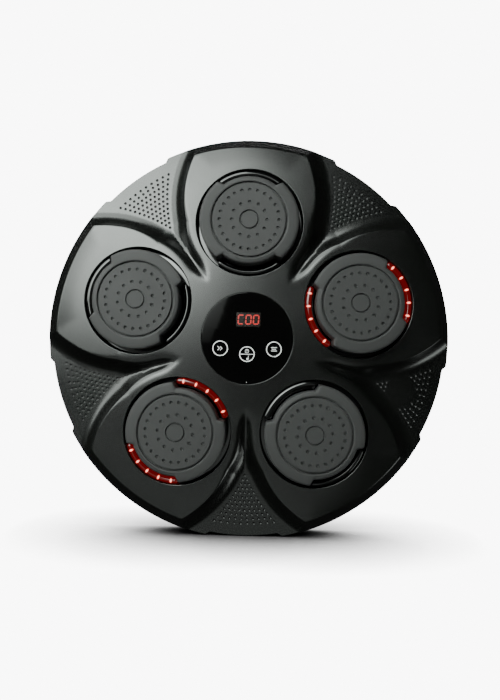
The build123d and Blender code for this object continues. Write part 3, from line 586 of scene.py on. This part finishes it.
def pad_patches():
    """One pad cap, local x outward: rounded edge, two grooves, dimples, side wall and cavity."""
    count = 360
    phi = np.arange(count) * 360.0 / count
    turn = np.radians(phi)
    edge = pad_outline(phi)
    groove_out, groove_in = PAD_GROOVE + 1.0, PAD_GROOVE - 1.0
    cap = Patches()
    rise = [(0.0, PAD_BACK), (0.0, 44.0), (0.0, 55.6)]
    rise += [(1.9 * (1 - math.cos(a)), 55.6 + 1.9 * math.sin(a)) for a in np.radians([20, 40, 60, 78])]
    rise += [(2.4, PAD_TOP - 0.35), (3.2, PAD_TOP - 0.2)]
    rows = [
        np.stack([(edge - i) * np.cos(turn), (edge - i) * np.sin(turn), edge * 0 + h], 1)
        for i, h in rise
    ]
    inner = [(groove_out + 1.6, PAD_TOP - 0.06), (groove_out + 0.25, PAD_TOP)]
    inner += [(groove_out - 0.1, PAD_TOP - 0.25), (PAD_GROOVE + 0.7, PAD_TOP - 2.4)]
    inner += [(PAD_GROOVE - 0.7, PAD_TOP - 2.4), (groove_in + 0.1, PAD_TOP - 0.25)]
    inner += [(groove_in - 0.3, PAD_TOP), (groove_in - 0.8, PAD_TOP)]
    rows += list(turned_strip(*zip(*inner), count))
    cap.grid(np.stack(rows), wrap=True)
    under = [(PAD_CAVITY, PAD_BACK), (PAD_CAVITY, PAD_SEAT - 0.4), (PAD_CAVITY - 0.4, PAD_SEAT)]
    foot = np.stack([edge * np.cos(turn), edge * np.sin(turn), edge * 0 + PAD_BACK], 1)
    strip = turned_strip(*zip(*under), count)
    cap.grid(np.concatenate([strip[::-1], foot[None]]), wrap=True)
    roof = np.concatenate([strip[-1], [[0.0, 0.0, PAD_SEAT]]])
    ring = np.arange(count)
    cap.add(roof, np.stack([ring, np.full(count, count), np.roll(ring, -1)], 1))

    places = np.concatenate([circle(r, n) for r, n in PAD_DIMPLE_RINGS])
    disc_edge = groove_in - 0.8
    blocks = [circle(disc_edge, count)]
    for radius in (9.9, 9.65, 9.4, 9.2, 8.8, 8.4, 8.2, 7.95, 7.7):
        blocks.append(circle(radius, 96))
    for radius in np.arange(2.0, disc_edge - 1.0, 2.0):
        ring_points = circle(radius, max(int(radius * 3), 8))
        gap = np.hypot(ring_points[:, None, 0] - places[:, 0], ring_points[:, None, 1] - places[:, 1])
        clear = (gap.min(axis=1) > 2.4) & (np.abs(radius - PAD_CENTRE_RING) > 1.7)
        blocks.append(ring_points[clear])
    for radius in (0.0, 0.7, 1.15, 1.4, 1.65, 1.9):
        for turn_step in range(1 if radius == 0 else 14):
            a = 2 * math.pi * turn_step / 14
            blocks.append(places + [radius * math.cos(a), radius * math.sin(a)])
    points = np.concatenate(blocks)
    flat, faces = triangulate(points, [np.arange(count)])
    gap = np.hypot(flat[:, None, 0] - places[:, 0], flat[:, None, 1] - places[:, 1]).min(axis=1)
    radius = np.hypot(*flat.T)
    drop = 1.5 * (1 - smooth(1.15, 1.65, gap))
    drop = drop + 1.8 * (1 - smooth(0.4, 0.85, np.abs(radius - PAD_CENTRE_RING)))
    middle = centres(flat, faces)
    inside = np.hypot(*middle.T) < disc_edge
    cap.add(np.column_stack([flat, PAD_TOP - drop]), faces[inside])
    return cap


def placed(patches, angle):
    """Patches made for local x outward, moved to the well at an angle."""
    out = Patches()
    shift = [WELL_RING * math.cos(math.radians(angle)), WELL_RING * math.sin(math.radians(angle)), 0]
    for points, faces in zip(patches.points, patches.faces):
        out.points.append(turned(points, angle) + shift)
        out.faces.append(faces)
        out.count += len(points)
    return out


# ---------------------------------------------------------------- light rings
def light_ring_patches():
    """Flat ring with two raised bars, local x outward.

    A bar is a stadium outline bent round the arc; its section is a domed top over straight sides.
    """
    ring = Patches()
    profile = [(RING_OUTER, RING_BACK), (RING_OUTER, RING_FRONT - 0.3), (RING_OUTER - 0.3, RING_FRONT)]
    profile += [(RING_INNER + 0.3, RING_FRONT), (RING_INNER, RING_FRONT - 0.3), (RING_INNER, RING_BACK)]
    profile += [(RING_OUTER, RING_BACK)]
    ring.grid(turned_strip(*zip(*profile), 144), wrap=True)
    middle, half = (BAR_INNER + BAR_OUTER) / 2, (BAR_OUTER - BAR_INNER) / 2
    straight = math.radians(BAR_HALF_ANGLE) * middle - half
    across = np.radians(np.arange(-90, 91, 7.5))
    along = np.linspace(-straight, straight, 61)
    right = np.stack([straight + half * np.cos(across), half * np.sin(across)], 1)
    left = np.stack([-straight - half * np.cos(across), -half * np.sin(across)], 1)
    top_edge = np.stack([along[::-1], np.full(61, half)], 1)
    low_edge = np.stack([along, np.full(61, -half)], 1)
    outline = np.concatenate([right, top_edge[1:-1], left, low_edge[1:-1]])
    spine = np.clip(outline[:, 0], -straight, straight)
    steps = [(1.0, RING_BACK + 0.4), (1.0, 34.0), (1.0, 41.2)]
    steps += [(math.cos(a), 41.2 + 2.2 * math.sin(a)) for a in np.radians([18, 36, 54, 70, 82])]
    for side in (0.0, 180.0):
        rows = []
        for share, height in steps + [(0.0, BAR_TOP)]:
            s = spine + (outline[:, 0] - spine) * share
            w = outline[:, 1] * share
            turn = s / middle
            out_to = middle + w
            rows.append(np.stack([out_to * np.cos(turn), out_to * np.sin(turn), w * 0 + height], 1))
        block = np.stack(rows)
        block = turned(block.reshape(-1, 3), side).reshape(block.shape)
        ring.grid(block, wrap=True)
        base = block[0]
        flat, faces = triangulate(base[:, :2], [np.arange(len(base))])
        mid = centres(flat, faces)
        local = turned(np.column_stack([mid, mid[:, 0] * 0]), -side)
        reach = np.hypot(local[:, 0], local[:, 1])
        inside = (reach > BAR_INNER - 0.05) & (reach < BAR_OUTER + 0.05)
        inside &= np.abs(np.degrees(np.arctan2(local[:, 1], local[:, 0]))) < BAR_HALF_ANGLE
        ring.add(np.column_stack([flat, np.full(len(flat), RING_BACK + 0.4)]), faces[inside][:, ::-1])
    return ring


def ring_uv(angle):
    """u: local angle along a bar in units of the LED spacing; v: radius across the bar, 0 to 1."""

    def run(points):
        shift = [WELL_RING * math.cos(math.radians(angle)), WELL_RING * math.sin(math.radians(angle)), 0]
        local = turned(points - shift, -angle)
        phi = np.degrees(np.arctan2(local[:, 1], local[:, 0]))
        phi = np.where(np.abs(phi) > 90, (phi + 360.0) % 360.0 - 180.0, phi)
        reach = np.hypot(local[:, 0], local[:, 1])
        return np.stack([phi / LED_SPACING, (reach - BAR_INNER) / (BAR_OUTER - BAR_INNER)], 1)

    return run


# ---------------------------------------------------------------- display lens and its prints
def disc_patches(radius, back, front, bevel, count=160):
    """Flat disc with a small rounded front edge."""
    disc = Patches()
    profile = [(0.001, back), (radius, back), (radius, front - bevel)]
    profile += [(radius - 0.3 * bevel, front - 0.3 * bevel), (radius - bevel, front), (0.001, front)]
    strip = turned_strip(*zip(*profile), count)
    disc.grid(strip, wrap=True)
    ring = np.arange(count)
    for row, h, flip in ((strip[0], back, True), (strip[-1], front, False)):
        fan = np.stack([ring, np.roll(ring, -1), np.full(count, count)], 1)
        disc.add(np.concatenate([row, [[0.0, 0.0, h]]]), fan[:, ::-1] if flip else fan)
    return disc


def flat_shape(target, outline, back, front, hole=None):
    """Adds a thin slab with a convex or ring outline to target."""
    outline = np.asarray(outline, dtype=float)
    n = len(outline)
    if hole is None:
        middle = outline.mean(axis=0)
        for h, flip in ((front, False), (back, True)):
            points = np.column_stack([np.vstack([outline, middle]), np.full(n + 1, h)])
            ring = np.arange(n)
            fan = np.stack([ring, np.roll(ring, -1), np.full(n, n)], 1)
            target.add(points, fan[:, ::-1] if flip else fan)
    if hole is None:
        loops = ((outline, back), (outline, front))
    else:
        inner = np.asarray(hole, dtype=float)
        loops = ((inner, back), (outline, back), (outline, front), (inner, front), (inner, back))
    rows = [np.column_stack([loop, np.full(n, h)]) for loop, h in loops]
    target.grid(np.stack(rows), wrap=True)


def bar(x0, y0, x1, y1, width):
    """Four corners of a straight stroke, anticlockwise."""
    length = math.hypot(x1 - x0, y1 - y0)
    ux, uy = (x1 - x0) / length, (y1 - y0) / length
    nx, ny = -uy * width / 2, ux * width / 2
    return [(x0 - nx, y0 - ny), (x1 - nx, y1 - ny), (x1 + nx, y1 + ny), (x0 + nx, y0 + ny)]


def digit_strokes(x, y, width, height, lit, lean=0.06, gap=0.45, stroke=1.15):
    """Seven-segment strokes of one digit centred at x, y; lit names the segments a to g."""
    w, h = width / 2, height / 2
    ends = {
        "a": (-w, h, w, h), "b": (w, h, w, 0), "c": (w, 0, w, -h), "d": (-w, -h, w, -h),
        "e": (-w, 0, -w, -h), "f": (-w, h, -w, 0), "g": (-w, 0, w, 0),
    }
    out = []
    for name in lit:
        x0, y0, x1, y1 = ends[name]
        length = math.hypot(x1 - x0, y1 - y0)
        ux, uy = (x1 - x0) / length * gap, (y1 - y0) / length * gap
        x0, y0, x1, y1 = x0 + ux, y0 + uy, x1 - ux, y1 - uy
        out.append(bar(x + x0 + lean * y0, y + y0, x + x1 + lean * y1, y + y1, stroke))
    return out


def make_prints(materials):
    """Digits, touch rings and generic marks laid into the front of the lens."""
    back, front = LENS_FRONT - 0.02, LENS_FRONT + 0.02
    digits = Patches()
    for x, lit in ((-6.6, "adef"), (0.9, "abcdef"), (8.4, "abcdef")):
        for stroke in digit_strokes(x, DISPLAY_RISE, 5.0, 8.6, lit):
            flat_shape(digits, stroke, LENS_FRONT + 0.03, LENS_FRONT + 0.06)
    window = Patches()
    w, h, r = 12.0, 6.9, 0.8
    corners = [(w - r, h - r, 0), (-w + r, h - r, 90), (-w + r, -h + r, 180), (w - r, -h + r, 270)]
    outline = [
        (0.7 + x + r * math.cos(math.radians(s + a)), DISPLAY_RISE + y + r * math.sin(math.radians(s + a)))
        for x, y, s in corners
        for a in (0, 30, 60, 90)
    ]
    flat_shape(window, outline, back, LENS_FRONT + 0.015)
    marks = Patches()
    for x, y in TOUCH_PLACES:
        ring = circle(TOUCH_RADIUS, 64, (x, y))
        flat_shape(marks, ring, back, front, circle(TOUCH_BORE, 64, (x, y)))
    strokes = []
    for step in (-1.6, 0.9):
        x, y = TOUCH_PLACES[0]
        strokes += [bar(x + step - 0.9, y + 1.9, x + step + 1.0, y, MARK_STROKE)]
        strokes += [bar(x + step + 1.0, y, x + step - 0.9, y - 1.9, MARK_STROKE)]
    x, y = TOUCH_PLACES[2]
    for step, length in ((1.7, 2.9), (0.0, 2.1), (-1.7, 2.9)):
        strokes.append(bar(x - length, y + step, x + length, y + step, MARK_STROKE))
    x, y = TOUCH_PLACES[1]
    strokes.append(bar(x - 6.8, y - 0.1, x + 6.8, y - 0.1, 0.6))
    strokes += [bar(x, y + 5.0, x, y + 2.6, MARK_STROKE), bar(x + 1.6, y - 1.6, x + 1.6, y - 4.6, 0.6)]
    for stroke in strokes:
        flat_shape(marks, stroke, back, front)
    power = circle(2.0, 36, (x, y + 3.0))
    flat_shape(marks, power, back, front, circle(1.5, 36, (x, y + 3.0)))
    flat_shape(marks, circle(1.1, 20, (x + 0.6, y - 4.6)), back, front)
    flat_shape(marks, circle(0.45, 16, (0.0, -43.4)), back, front)
    prints = (
        ("display_digits", digits, "digit"),
        ("display_window", window, "window"),
        ("touch_marks", marks, "ink"),
    )
    for name, patches, kind in prints:
        piece = make_piece(name, patches, "housing")
        piece.data.materials.append(materials[kind])


# ---------------------------------------------------------------- materials
def linear(text):
    """Hex colour as linear light."""
    parts = [int(text[i : i + 2], 16) / 255 for i in (1, 3, 5)]
    return tuple(p / 12.92 if p <= 0.04045 else ((p + 0.055) / 1.055) ** 2.4 for p in parts) + (1.0,)


def add_node(material, kind, **values):
    """Adds a shader node; sockets are named by their labels with underscores for spaces."""
    node = material.node_tree.nodes.new(kind)
    for key, value in values.items():
        socket = node.inputs.get(key.replace("_", " "))
        if socket is not None:
            socket.default_value = value
        else:
            setattr(node, key, value)
    return node


def finish(name, colour, roughness, metallic=0.0, ior=None, grain=0.0, grain_size=1.0, mottle=0.0, **more):
    """Procedural surface: grain is a fine bump in mm, mottle a slow change of roughness."""
    material = bpy.data.materials.new(name)
    material.use_nodes = True
    surface = material.node_tree.nodes["Principled BSDF"]
    surface.inputs["Base Color"].default_value = linear(colour)
    surface.inputs["Roughness"].default_value = roughness
    surface.inputs["Metallic"].default_value = metallic
    if ior is not None:
        surface.inputs["IOR"].default_value = ior
    for key, value in more.items():
        surface.inputs[key.replace("_", " ")].default_value = value
    link = material.node_tree.links.new
    place = add_node(material, "ShaderNodeTexCoord")
    if grain > 0:
        noise = add_node(material, "ShaderNodeTexNoise", Scale=1000.0 / grain_size, Detail=2.0)
        bump = add_node(material, "ShaderNodeBump", Distance=grain * 0.001, Strength=1.0)
        link(place.outputs["Object"], noise.inputs["Vector"])
        link(noise.outputs["Fac"], bump.inputs["Height"])
        link(bump.outputs["Normal"], surface.inputs["Normal"])
    if mottle > 0:
        cloud = add_node(material, "ShaderNodeTexNoise", Scale=1000.0 / 60.0, Detail=4.0)
        spread = add_node(material, "ShaderNodeMapRange", From_Min=0.3, From_Max=0.7)
        spread.inputs["To Min"].default_value = roughness - mottle
        spread.inputs["To Max"].default_value = roughness + mottle
        link(place.outputs["Object"], cloud.inputs["Vector"])
        link(cloud.outputs["Fac"], spread.inputs["Value"])
        link(spread.outputs["Result"], surface.inputs["Roughness"])
    return material, surface


def glow(material, surface):
    """Red light through a bar: a dim run with a hot spot, longer across the bar, over each LED.

    u counts LED spacings along the bar and v runs 0 to 1 across it.
    """
    link = material.node_tree.links.new
    place = add_node(material, "ShaderNodeUVMap", uv_map="run")
    split = add_node(material, "ShaderNodeSeparateXYZ")
    link(place.outputs["UV"], split.inputs["Vector"])
    along = add_node(material, "ShaderNodeMath", operation="PINGPONG")
    along.inputs[1].default_value = 0.5
    link(split.outputs["X"], along.inputs[0])
    across = add_node(material, "ShaderNodeMath", operation="SUBTRACT")
    across.inputs[1].default_value = 0.5
    link(split.outputs["Y"], across.inputs[0])
    joined = add_node(material, "ShaderNodeCombineXYZ")
    link(along.outputs[0], joined.inputs["X"])
    link(across.outputs[0], joined.inputs["Y"])
    scaled = add_node(material, "ShaderNodeVectorMath", operation="MULTIPLY")
    scaled.inputs[1].default_value = (12.9 / 1.5, 5.7 / 3.0, 0.0)
    link(joined.outputs["Vector"], scaled.inputs[0])
    reach = add_node(material, "ShaderNodeVectorMath", operation="LENGTH")
    link(scaled.outputs["Vector"], reach.inputs[0])
    spot = add_node(
        material, "ShaderNodeMapRange", interpolation_type="SMOOTHERSTEP", From_Min=0.1, From_Max=1.1
    )
    spot.inputs["To Min"].default_value = 1.0
    spot.inputs["To Max"].default_value = 0.0
    link(reach.outputs["Value"], spot.inputs["Value"])
    tint = add_node(material, "ShaderNodeMix", data_type="RGBA")
    tint.inputs[6].default_value = linear("#e00808")
    tint.inputs[7].default_value = linear("#ff9c86")
    link(spot.outputs["Result"], tint.inputs[0])
    power = add_node(material, "ShaderNodeMapRange")
    power.inputs["To Min"].default_value = 0.16
    power.inputs["To Max"].default_value = 4.5
    link(spot.outputs["Result"], power.inputs["Value"])
    link(tint.outputs[2], surface.inputs["Emission Color"])
    link(power.outputs["Result"], surface.inputs["Emission Strength"])


made = {
    "shell": finish(
        "moulded_gloss_abs", "#060706", 0.24, ior=1.54, grain=0.004, grain_size=1.2, mottle=0.03
    ),
    "cover": finish("moulded_satin_abs", "#101110", 0.5, ior=1.54, grain=0.02, grain_size=0.8, mottle=0.04),
    "pad": finish(
        "matt_silicone_rubber", "#272727", 0.66, ior=1.42, grain=0.012, grain_size=0.9, mottle=0.05
    ),
    "carrier": finish("carrier_abs", "#191a1a", 0.55, ior=1.54, grain=0.01, grain_size=0.7),
    "clear": finish("smoked_polycarbonate", "#050505", 0.09, ior=1.585, grain=0.002, grain_size=3.0),
    "lit": finish("lit_polycarbonate", "#1c0202", 0.1, ior=1.585, grain=0.002, grain_size=3.0),
    "lens": finish("black_acrylic", "#020202", 0.04, ior=1.49, grain=0.0006, grain_size=8.0),
    "window": finish("smoked_window", "#120907", 0.2, ior=1.49),
    "ink": finish("screen_print_ink", "#c9c9c9", 0.5, ior=1.5),
    "digit": finish(
        "red_led_segment", "#300303", 0.4, ior=1.5,
        Emission_Color=linear("#ff2414"), Emission_Strength=0.85,
    ),
    "board": finish("green_circuit_board", "#12401f", 0.45, ior=1.55, grain=0.03, grain_size=2.0),
    "nylon": finish("black_nylon", "#151515", 0.5, ior=1.53),
    "acetal": finish("white_acetal", "#d9d6cc", 0.4, ior=1.48),
    "steel": finish("zinc_plated_steel", "#b8bcbe", 0.3, 1.0, grain=0.004, grain_size=0.6),
    "spring": finish("spring_steel", "#8d9092", 0.28, 1.0, grain=0.002, grain_size=0.5),
    "tape": finish("black_foam_tape", "#161616", 0.85, grain=0.05, grain_size=0.6),
    "resin": finish("display_resin", "#0b0b0c", 0.35, ior=1.5),
    "copper": finish("enamelled_copper", "#a4562c", 0.3, 1.0),
    "foam": finish("grey_mounting_foam", "#4b4c4d", 0.9, grain=0.12, grain_size=0.9),
    "speaker": finish("pressed_steel", "#6d7072", 0.35, 1.0, grain=0.01, grain_size=0.7),
    "wrap": finish("blue_cell_wrap", "#1c4f8e", 0.35, ior=1.5),
    "wire": finish("pvc_insulation", "#7a1413", 0.45, ior=1.53),
}
materials = {name: pair[0] for name, pair in made.items()}
glow(*made["lit"])

# ---------------------------------------------------------------- pieces
make_front_shell(materials["shell"])
pad_template, ring_template = pad_patches(), light_ring_patches()
for target, petal in zip(TARGETS, PETAL_ANGLES):
    cap = make_piece(
        f"pad_{target}_rubber", placed(pad_template, petal), f"pad_{target}",
        [f"pad_cap_{target}"], 40.0,
    )
    cap.data.materials.append(materials["pad"])
    ring = make_piece(
        f"light_ring_{target}_clear", placed(ring_template, petal), "housing",
        [f"light_ring_{target}"], 40.0, None, ring_uv(petal),
    )
    ring.data.materials.append(materials["clear"])
    if target in LIT_TARGETS:
        ring.data.materials.append(materials["lit"])
        middle = np.zeros(3 * len(ring.data.polygons))
        ring.data.polygons.foreach_get("center", middle)
        on_bar = -middle.reshape(-1, 3)[:, 1] > (RING_FRONT + 0.2) * 0.001
        ring.data.polygons.foreach_set("material_index", on_bar.astype(np.int32))
lens = make_piece(
    "display_lens_disc", disc_patches(LENS_RADIUS, LENS_BACK, LENS_FRONT, 0.3), "housing",
    ["display_lens"], 12.0,
)
lens.data.materials.append(materials["lens"])
make_prints(materials)

KEPT = {
    "rear_cover": "cover", "pad_carrier": "carrier", "retaining_screws": "steel", "return_spring": "spring",
    "led_board": "board", "sensor_switch": "nylon", "switch_plunger": "acetal", "lens_tape": "tape",
    "digit_display": "resin", "touch_coils": "copper", "main_board_screws": "steel",
    "sensor_board_screws": "steel", "cover_screws": "steel", "main_board": "board", "wall_pads": "foam",
    "speaker_gasket": "foam", "speaker_left": "speaker", "speaker_right": "speaker",
    "battery_tray": "cover", "battery": "wrap", "charging_socket": "steel", "wire_harness": "wire",
}
for name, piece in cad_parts.items():
    for start, kind in KEPT.items():
        if name.startswith(start):
            piece.data.materials.clear()
            piece.data.materials.append(materials[kind])
            break


# ---------------------------------------------------------------- stage, light and camera
def emitter(name, corners, colour, strength, faces=None):
    """Glowing panel through corners given in metres, one face unless more are listed."""
    mesh = bpy.data.meshes.new(name)
    mesh.from_pydata(corners, [], faces or [tuple(range(len(corners)))])
    panel = bpy.data.objects.new(name, mesh)
    bpy.context.scene.collection.objects.link(panel)
    material, surface = finish(name + "_cloth", "#000000", 1.0)
    surface.inputs["Specular IOR Level"].default_value = 0.0
    surface.inputs["Emission Color"].default_value = linear(colour)
    surface.inputs["Emission Strength"].default_value = strength
    mesh.materials.append(material)
    return panel, material, surface


def area_light(name, place, target, size, power, colour, mirrored=False):
    """Square area light aimed at a point; mirrored lets glossy surfaces reflect it."""
    data = bpy.data.lights.new(name, "AREA")
    data.size, data.energy, data.color = size, power, linear(colour)[:3]
    lamp = bpy.data.objects.new(name, data)
    lamp.location = place
    lamp.rotation_euler = (Vector(target) - Vector(place)).to_track_quat("-Z", "Y").to_euler()
    lamp.visible_glossy = mirrored
    bpy.context.scene.collection.objects.link(lamp)


FLOOR = -0.1972
WHITE = 9.0
NEAR, FAR, SIDE, HIGH = -6.0, 2.4, 6.0, 6.0
backdrop, _, _ = emitter(
    "backdrop",
    [(x, y, z) for x in (-SIDE, SIDE) for y in (NEAR, FAR) for z in (FLOOR, HIGH)],
    "#ffffff",
    WHITE,
    [(0, 1, 3, 2), (4, 6, 7, 5), (0, 4, 5, 1), (2, 3, 7, 6), (1, 5, 7, 3)],
)
floor, floor_material, floor_surface = emitter(
    "floor",
    [(-SIDE, NEAR, FLOOR), (SIDE, NEAR, FLOOR), (SIDE, FAR, FLOOR), (-SIDE, FAR, FLOOR)],
    "#ffffff", WHITE,
)
# painted contact shadow: ambient occlusion dims the floor's glow under and beside the body, standing in for
# a cast shadow
painted_shadow = add_node(floor_material, "ShaderNodeAmbientOcclusion", Distance=0.11)
steep = add_node(floor_material, "ShaderNodeMath", operation="POWER")
steep.inputs[1].default_value = 4.5
level = add_node(floor_material, "ShaderNodeMath", operation="MULTIPLY")
level.inputs[1].default_value = WHITE
floor_material.node_tree.links.new(painted_shadow.outputs["AO"], steep.inputs[0])
floor_material.node_tree.links.new(steep.outputs[0], level.inputs[0])
floor_material.node_tree.links.new(level.outputs[0], floor_surface.inputs["Emission Strength"])
for piece in (backdrop, floor):
    piece.visible_diffuse = False
    piece.visible_glossy = False
    piece.visible_shadow = False
SOFT = 19.0
panel, panel_material, panel_surface = emitter(
    "softbox",
    [(-0.65, -1.305, 0.034), (-0.65, -1.305, 0.65), (0.082, -1.305, 0.65), (-0.143, -1.305, 0.034)],
    "#f2fbf5",
    SOFT,
)
panel.visible_camera = False
# the cloth dims toward its slanted right edge, x - 0.366 z = -0.155 m, and toward its lower edge
panel_link = panel_material.node_tree.links.new
panel_place = add_node(panel_material, "ShaderNodeTexCoord")
panel_split = add_node(panel_material, "ShaderNodeSeparateXYZ")
panel_link(panel_place.outputs["Object"], panel_split.inputs["Vector"])
lean = add_node(panel_material, "ShaderNodeMath", operation="MULTIPLY_ADD")
lean.inputs[1].default_value = -0.366
panel_link(panel_split.outputs["Z"], lean.inputs[0])
panel_link(panel_split.outputs["X"], lean.inputs[2])
side_fade = add_node(
    panel_material, "ShaderNodeMapRange", interpolation_type="SMOOTHSTEP", From_Min=-0.155, From_Max=-0.4
)
side_fade.inputs["To Min"].default_value = 0.1
side_fade.inputs["To Max"].default_value = 1.0
panel_link(lean.outputs[0], side_fade.inputs["Value"])
low_fade = add_node(
    panel_material, "ShaderNodeMapRange", interpolation_type="SMOOTHSTEP", From_Min=-0.05, From_Max=0.33
)
low_fade.inputs["To Min"].default_value = 0.05
low_fade.inputs["To Max"].default_value = SOFT
panel_link(panel_split.outputs["Z"], low_fade.inputs["Value"])
both_fades = add_node(panel_material, "ShaderNodeMath", operation="MULTIPLY")
panel_link(side_fade.outputs["Result"], both_fades.inputs[0])
panel_link(low_fade.outputs["Result"], both_fades.inputs[1])
panel_link(both_fades.outputs[0], panel_surface.inputs["Emission Strength"])
WING_STRENGTH = 0.38 * SOFT
for name, corners, strength in (
    (
        "left_wing",
        [(-1.25, -0.55, 0.1), (-1.25, -0.55, 0.9), (-0.65, -1.305, 0.65), (-0.65, -1.305, 0.2)],
        WING_STRENGTH,
    ),
    (
        "top_wing",
        [(-0.65, -1.305, 0.65), (-0.9, -0.45, 1.15), (-0.1, -0.45, 1.15), (0.0, -1.305, 0.65)],
        WING_STRENGTH,
    ),
    ("corner_wing", [(-1.25, -0.55, 0.9), (-0.9, -0.45, 1.15), (-0.65, -1.305, 0.65)], WING_STRENGTH),
    (
        "bounce_card",
        [(-0.9, -1.305, -1.0), (-0.9, -1.305, -0.2), (0.25, -1.305, -0.2), (0.25, -1.305, -1.0)],
        0.65,
    ),
    ("low_strip", [(0.8, -0.5, -0.9), (0.8, -0.5, -0.35), (1.0, -0.25, -0.35), (1.0, -0.25, -0.9)], 5.0),
):
    wing, _, _ = emitter(name, corners, "#f2fbf5", strength)
    wing.visible_camera = False
area_light("key", (-0.35, -0.27, 0.3), (-0.05, 0, 0.03), 0.25, 2.7, "#ffffff")
area_light("rear_top", (0.1, 1.3, 1.1), (0, 0, 0), 1.0, 45.0, "#ffffff", True)
area_light("rear_left", (-1.2, 1.5, 0.7), (0, 0, 0), 0.7, 22.0, "#ffffff", True)
area_light("rear_right", (1.2, 1.5, 0.5), (0, 0, 0), 0.7, 22.0, "#ffffff", True)

world = bpy.data.worlds.new("studio")
world.use_nodes = True
world.node_tree.nodes["Background"].inputs["Color"].default_value = linear("#ffffff")
world.node_tree.nodes["Background"].inputs["Strength"].default_value = 0.035
bpy.context.scene.world = world

camera_data = bpy.data.cameras.new("camera")
camera_data.lens = 36.0 * 640.0 / 700.0
camera_data.sensor_width = 36.0
camera = bpy.data.objects.new("camera", camera_data)
bpy.context.scene.collection.objects.link(camera)
EYE = Vector((0.0164, -0.6747, -0.0244))
AIM = Vector((0.00276, -0.033, -0.01133))
forward = (AIM - EYE).normalized()
level_right = forward.cross(Vector((0, 0, 1))).normalized()
level_up = level_right.cross(forward)
roll = math.radians(1.15)
right = level_right * math.cos(roll) + level_up * math.sin(roll)
up = level_up * math.cos(roll) - level_right * math.sin(roll)
camera.matrix_world = Matrix(
    [
        (right.x, up.x, -forward.x, EYE.x),
        (right.y, up.y, -forward.y, EYE.y),
        (right.z, up.z, -forward.z, EYE.z),
        (0, 0, 0, 1),
    ]
)
bpy.context.scene.camera = camera
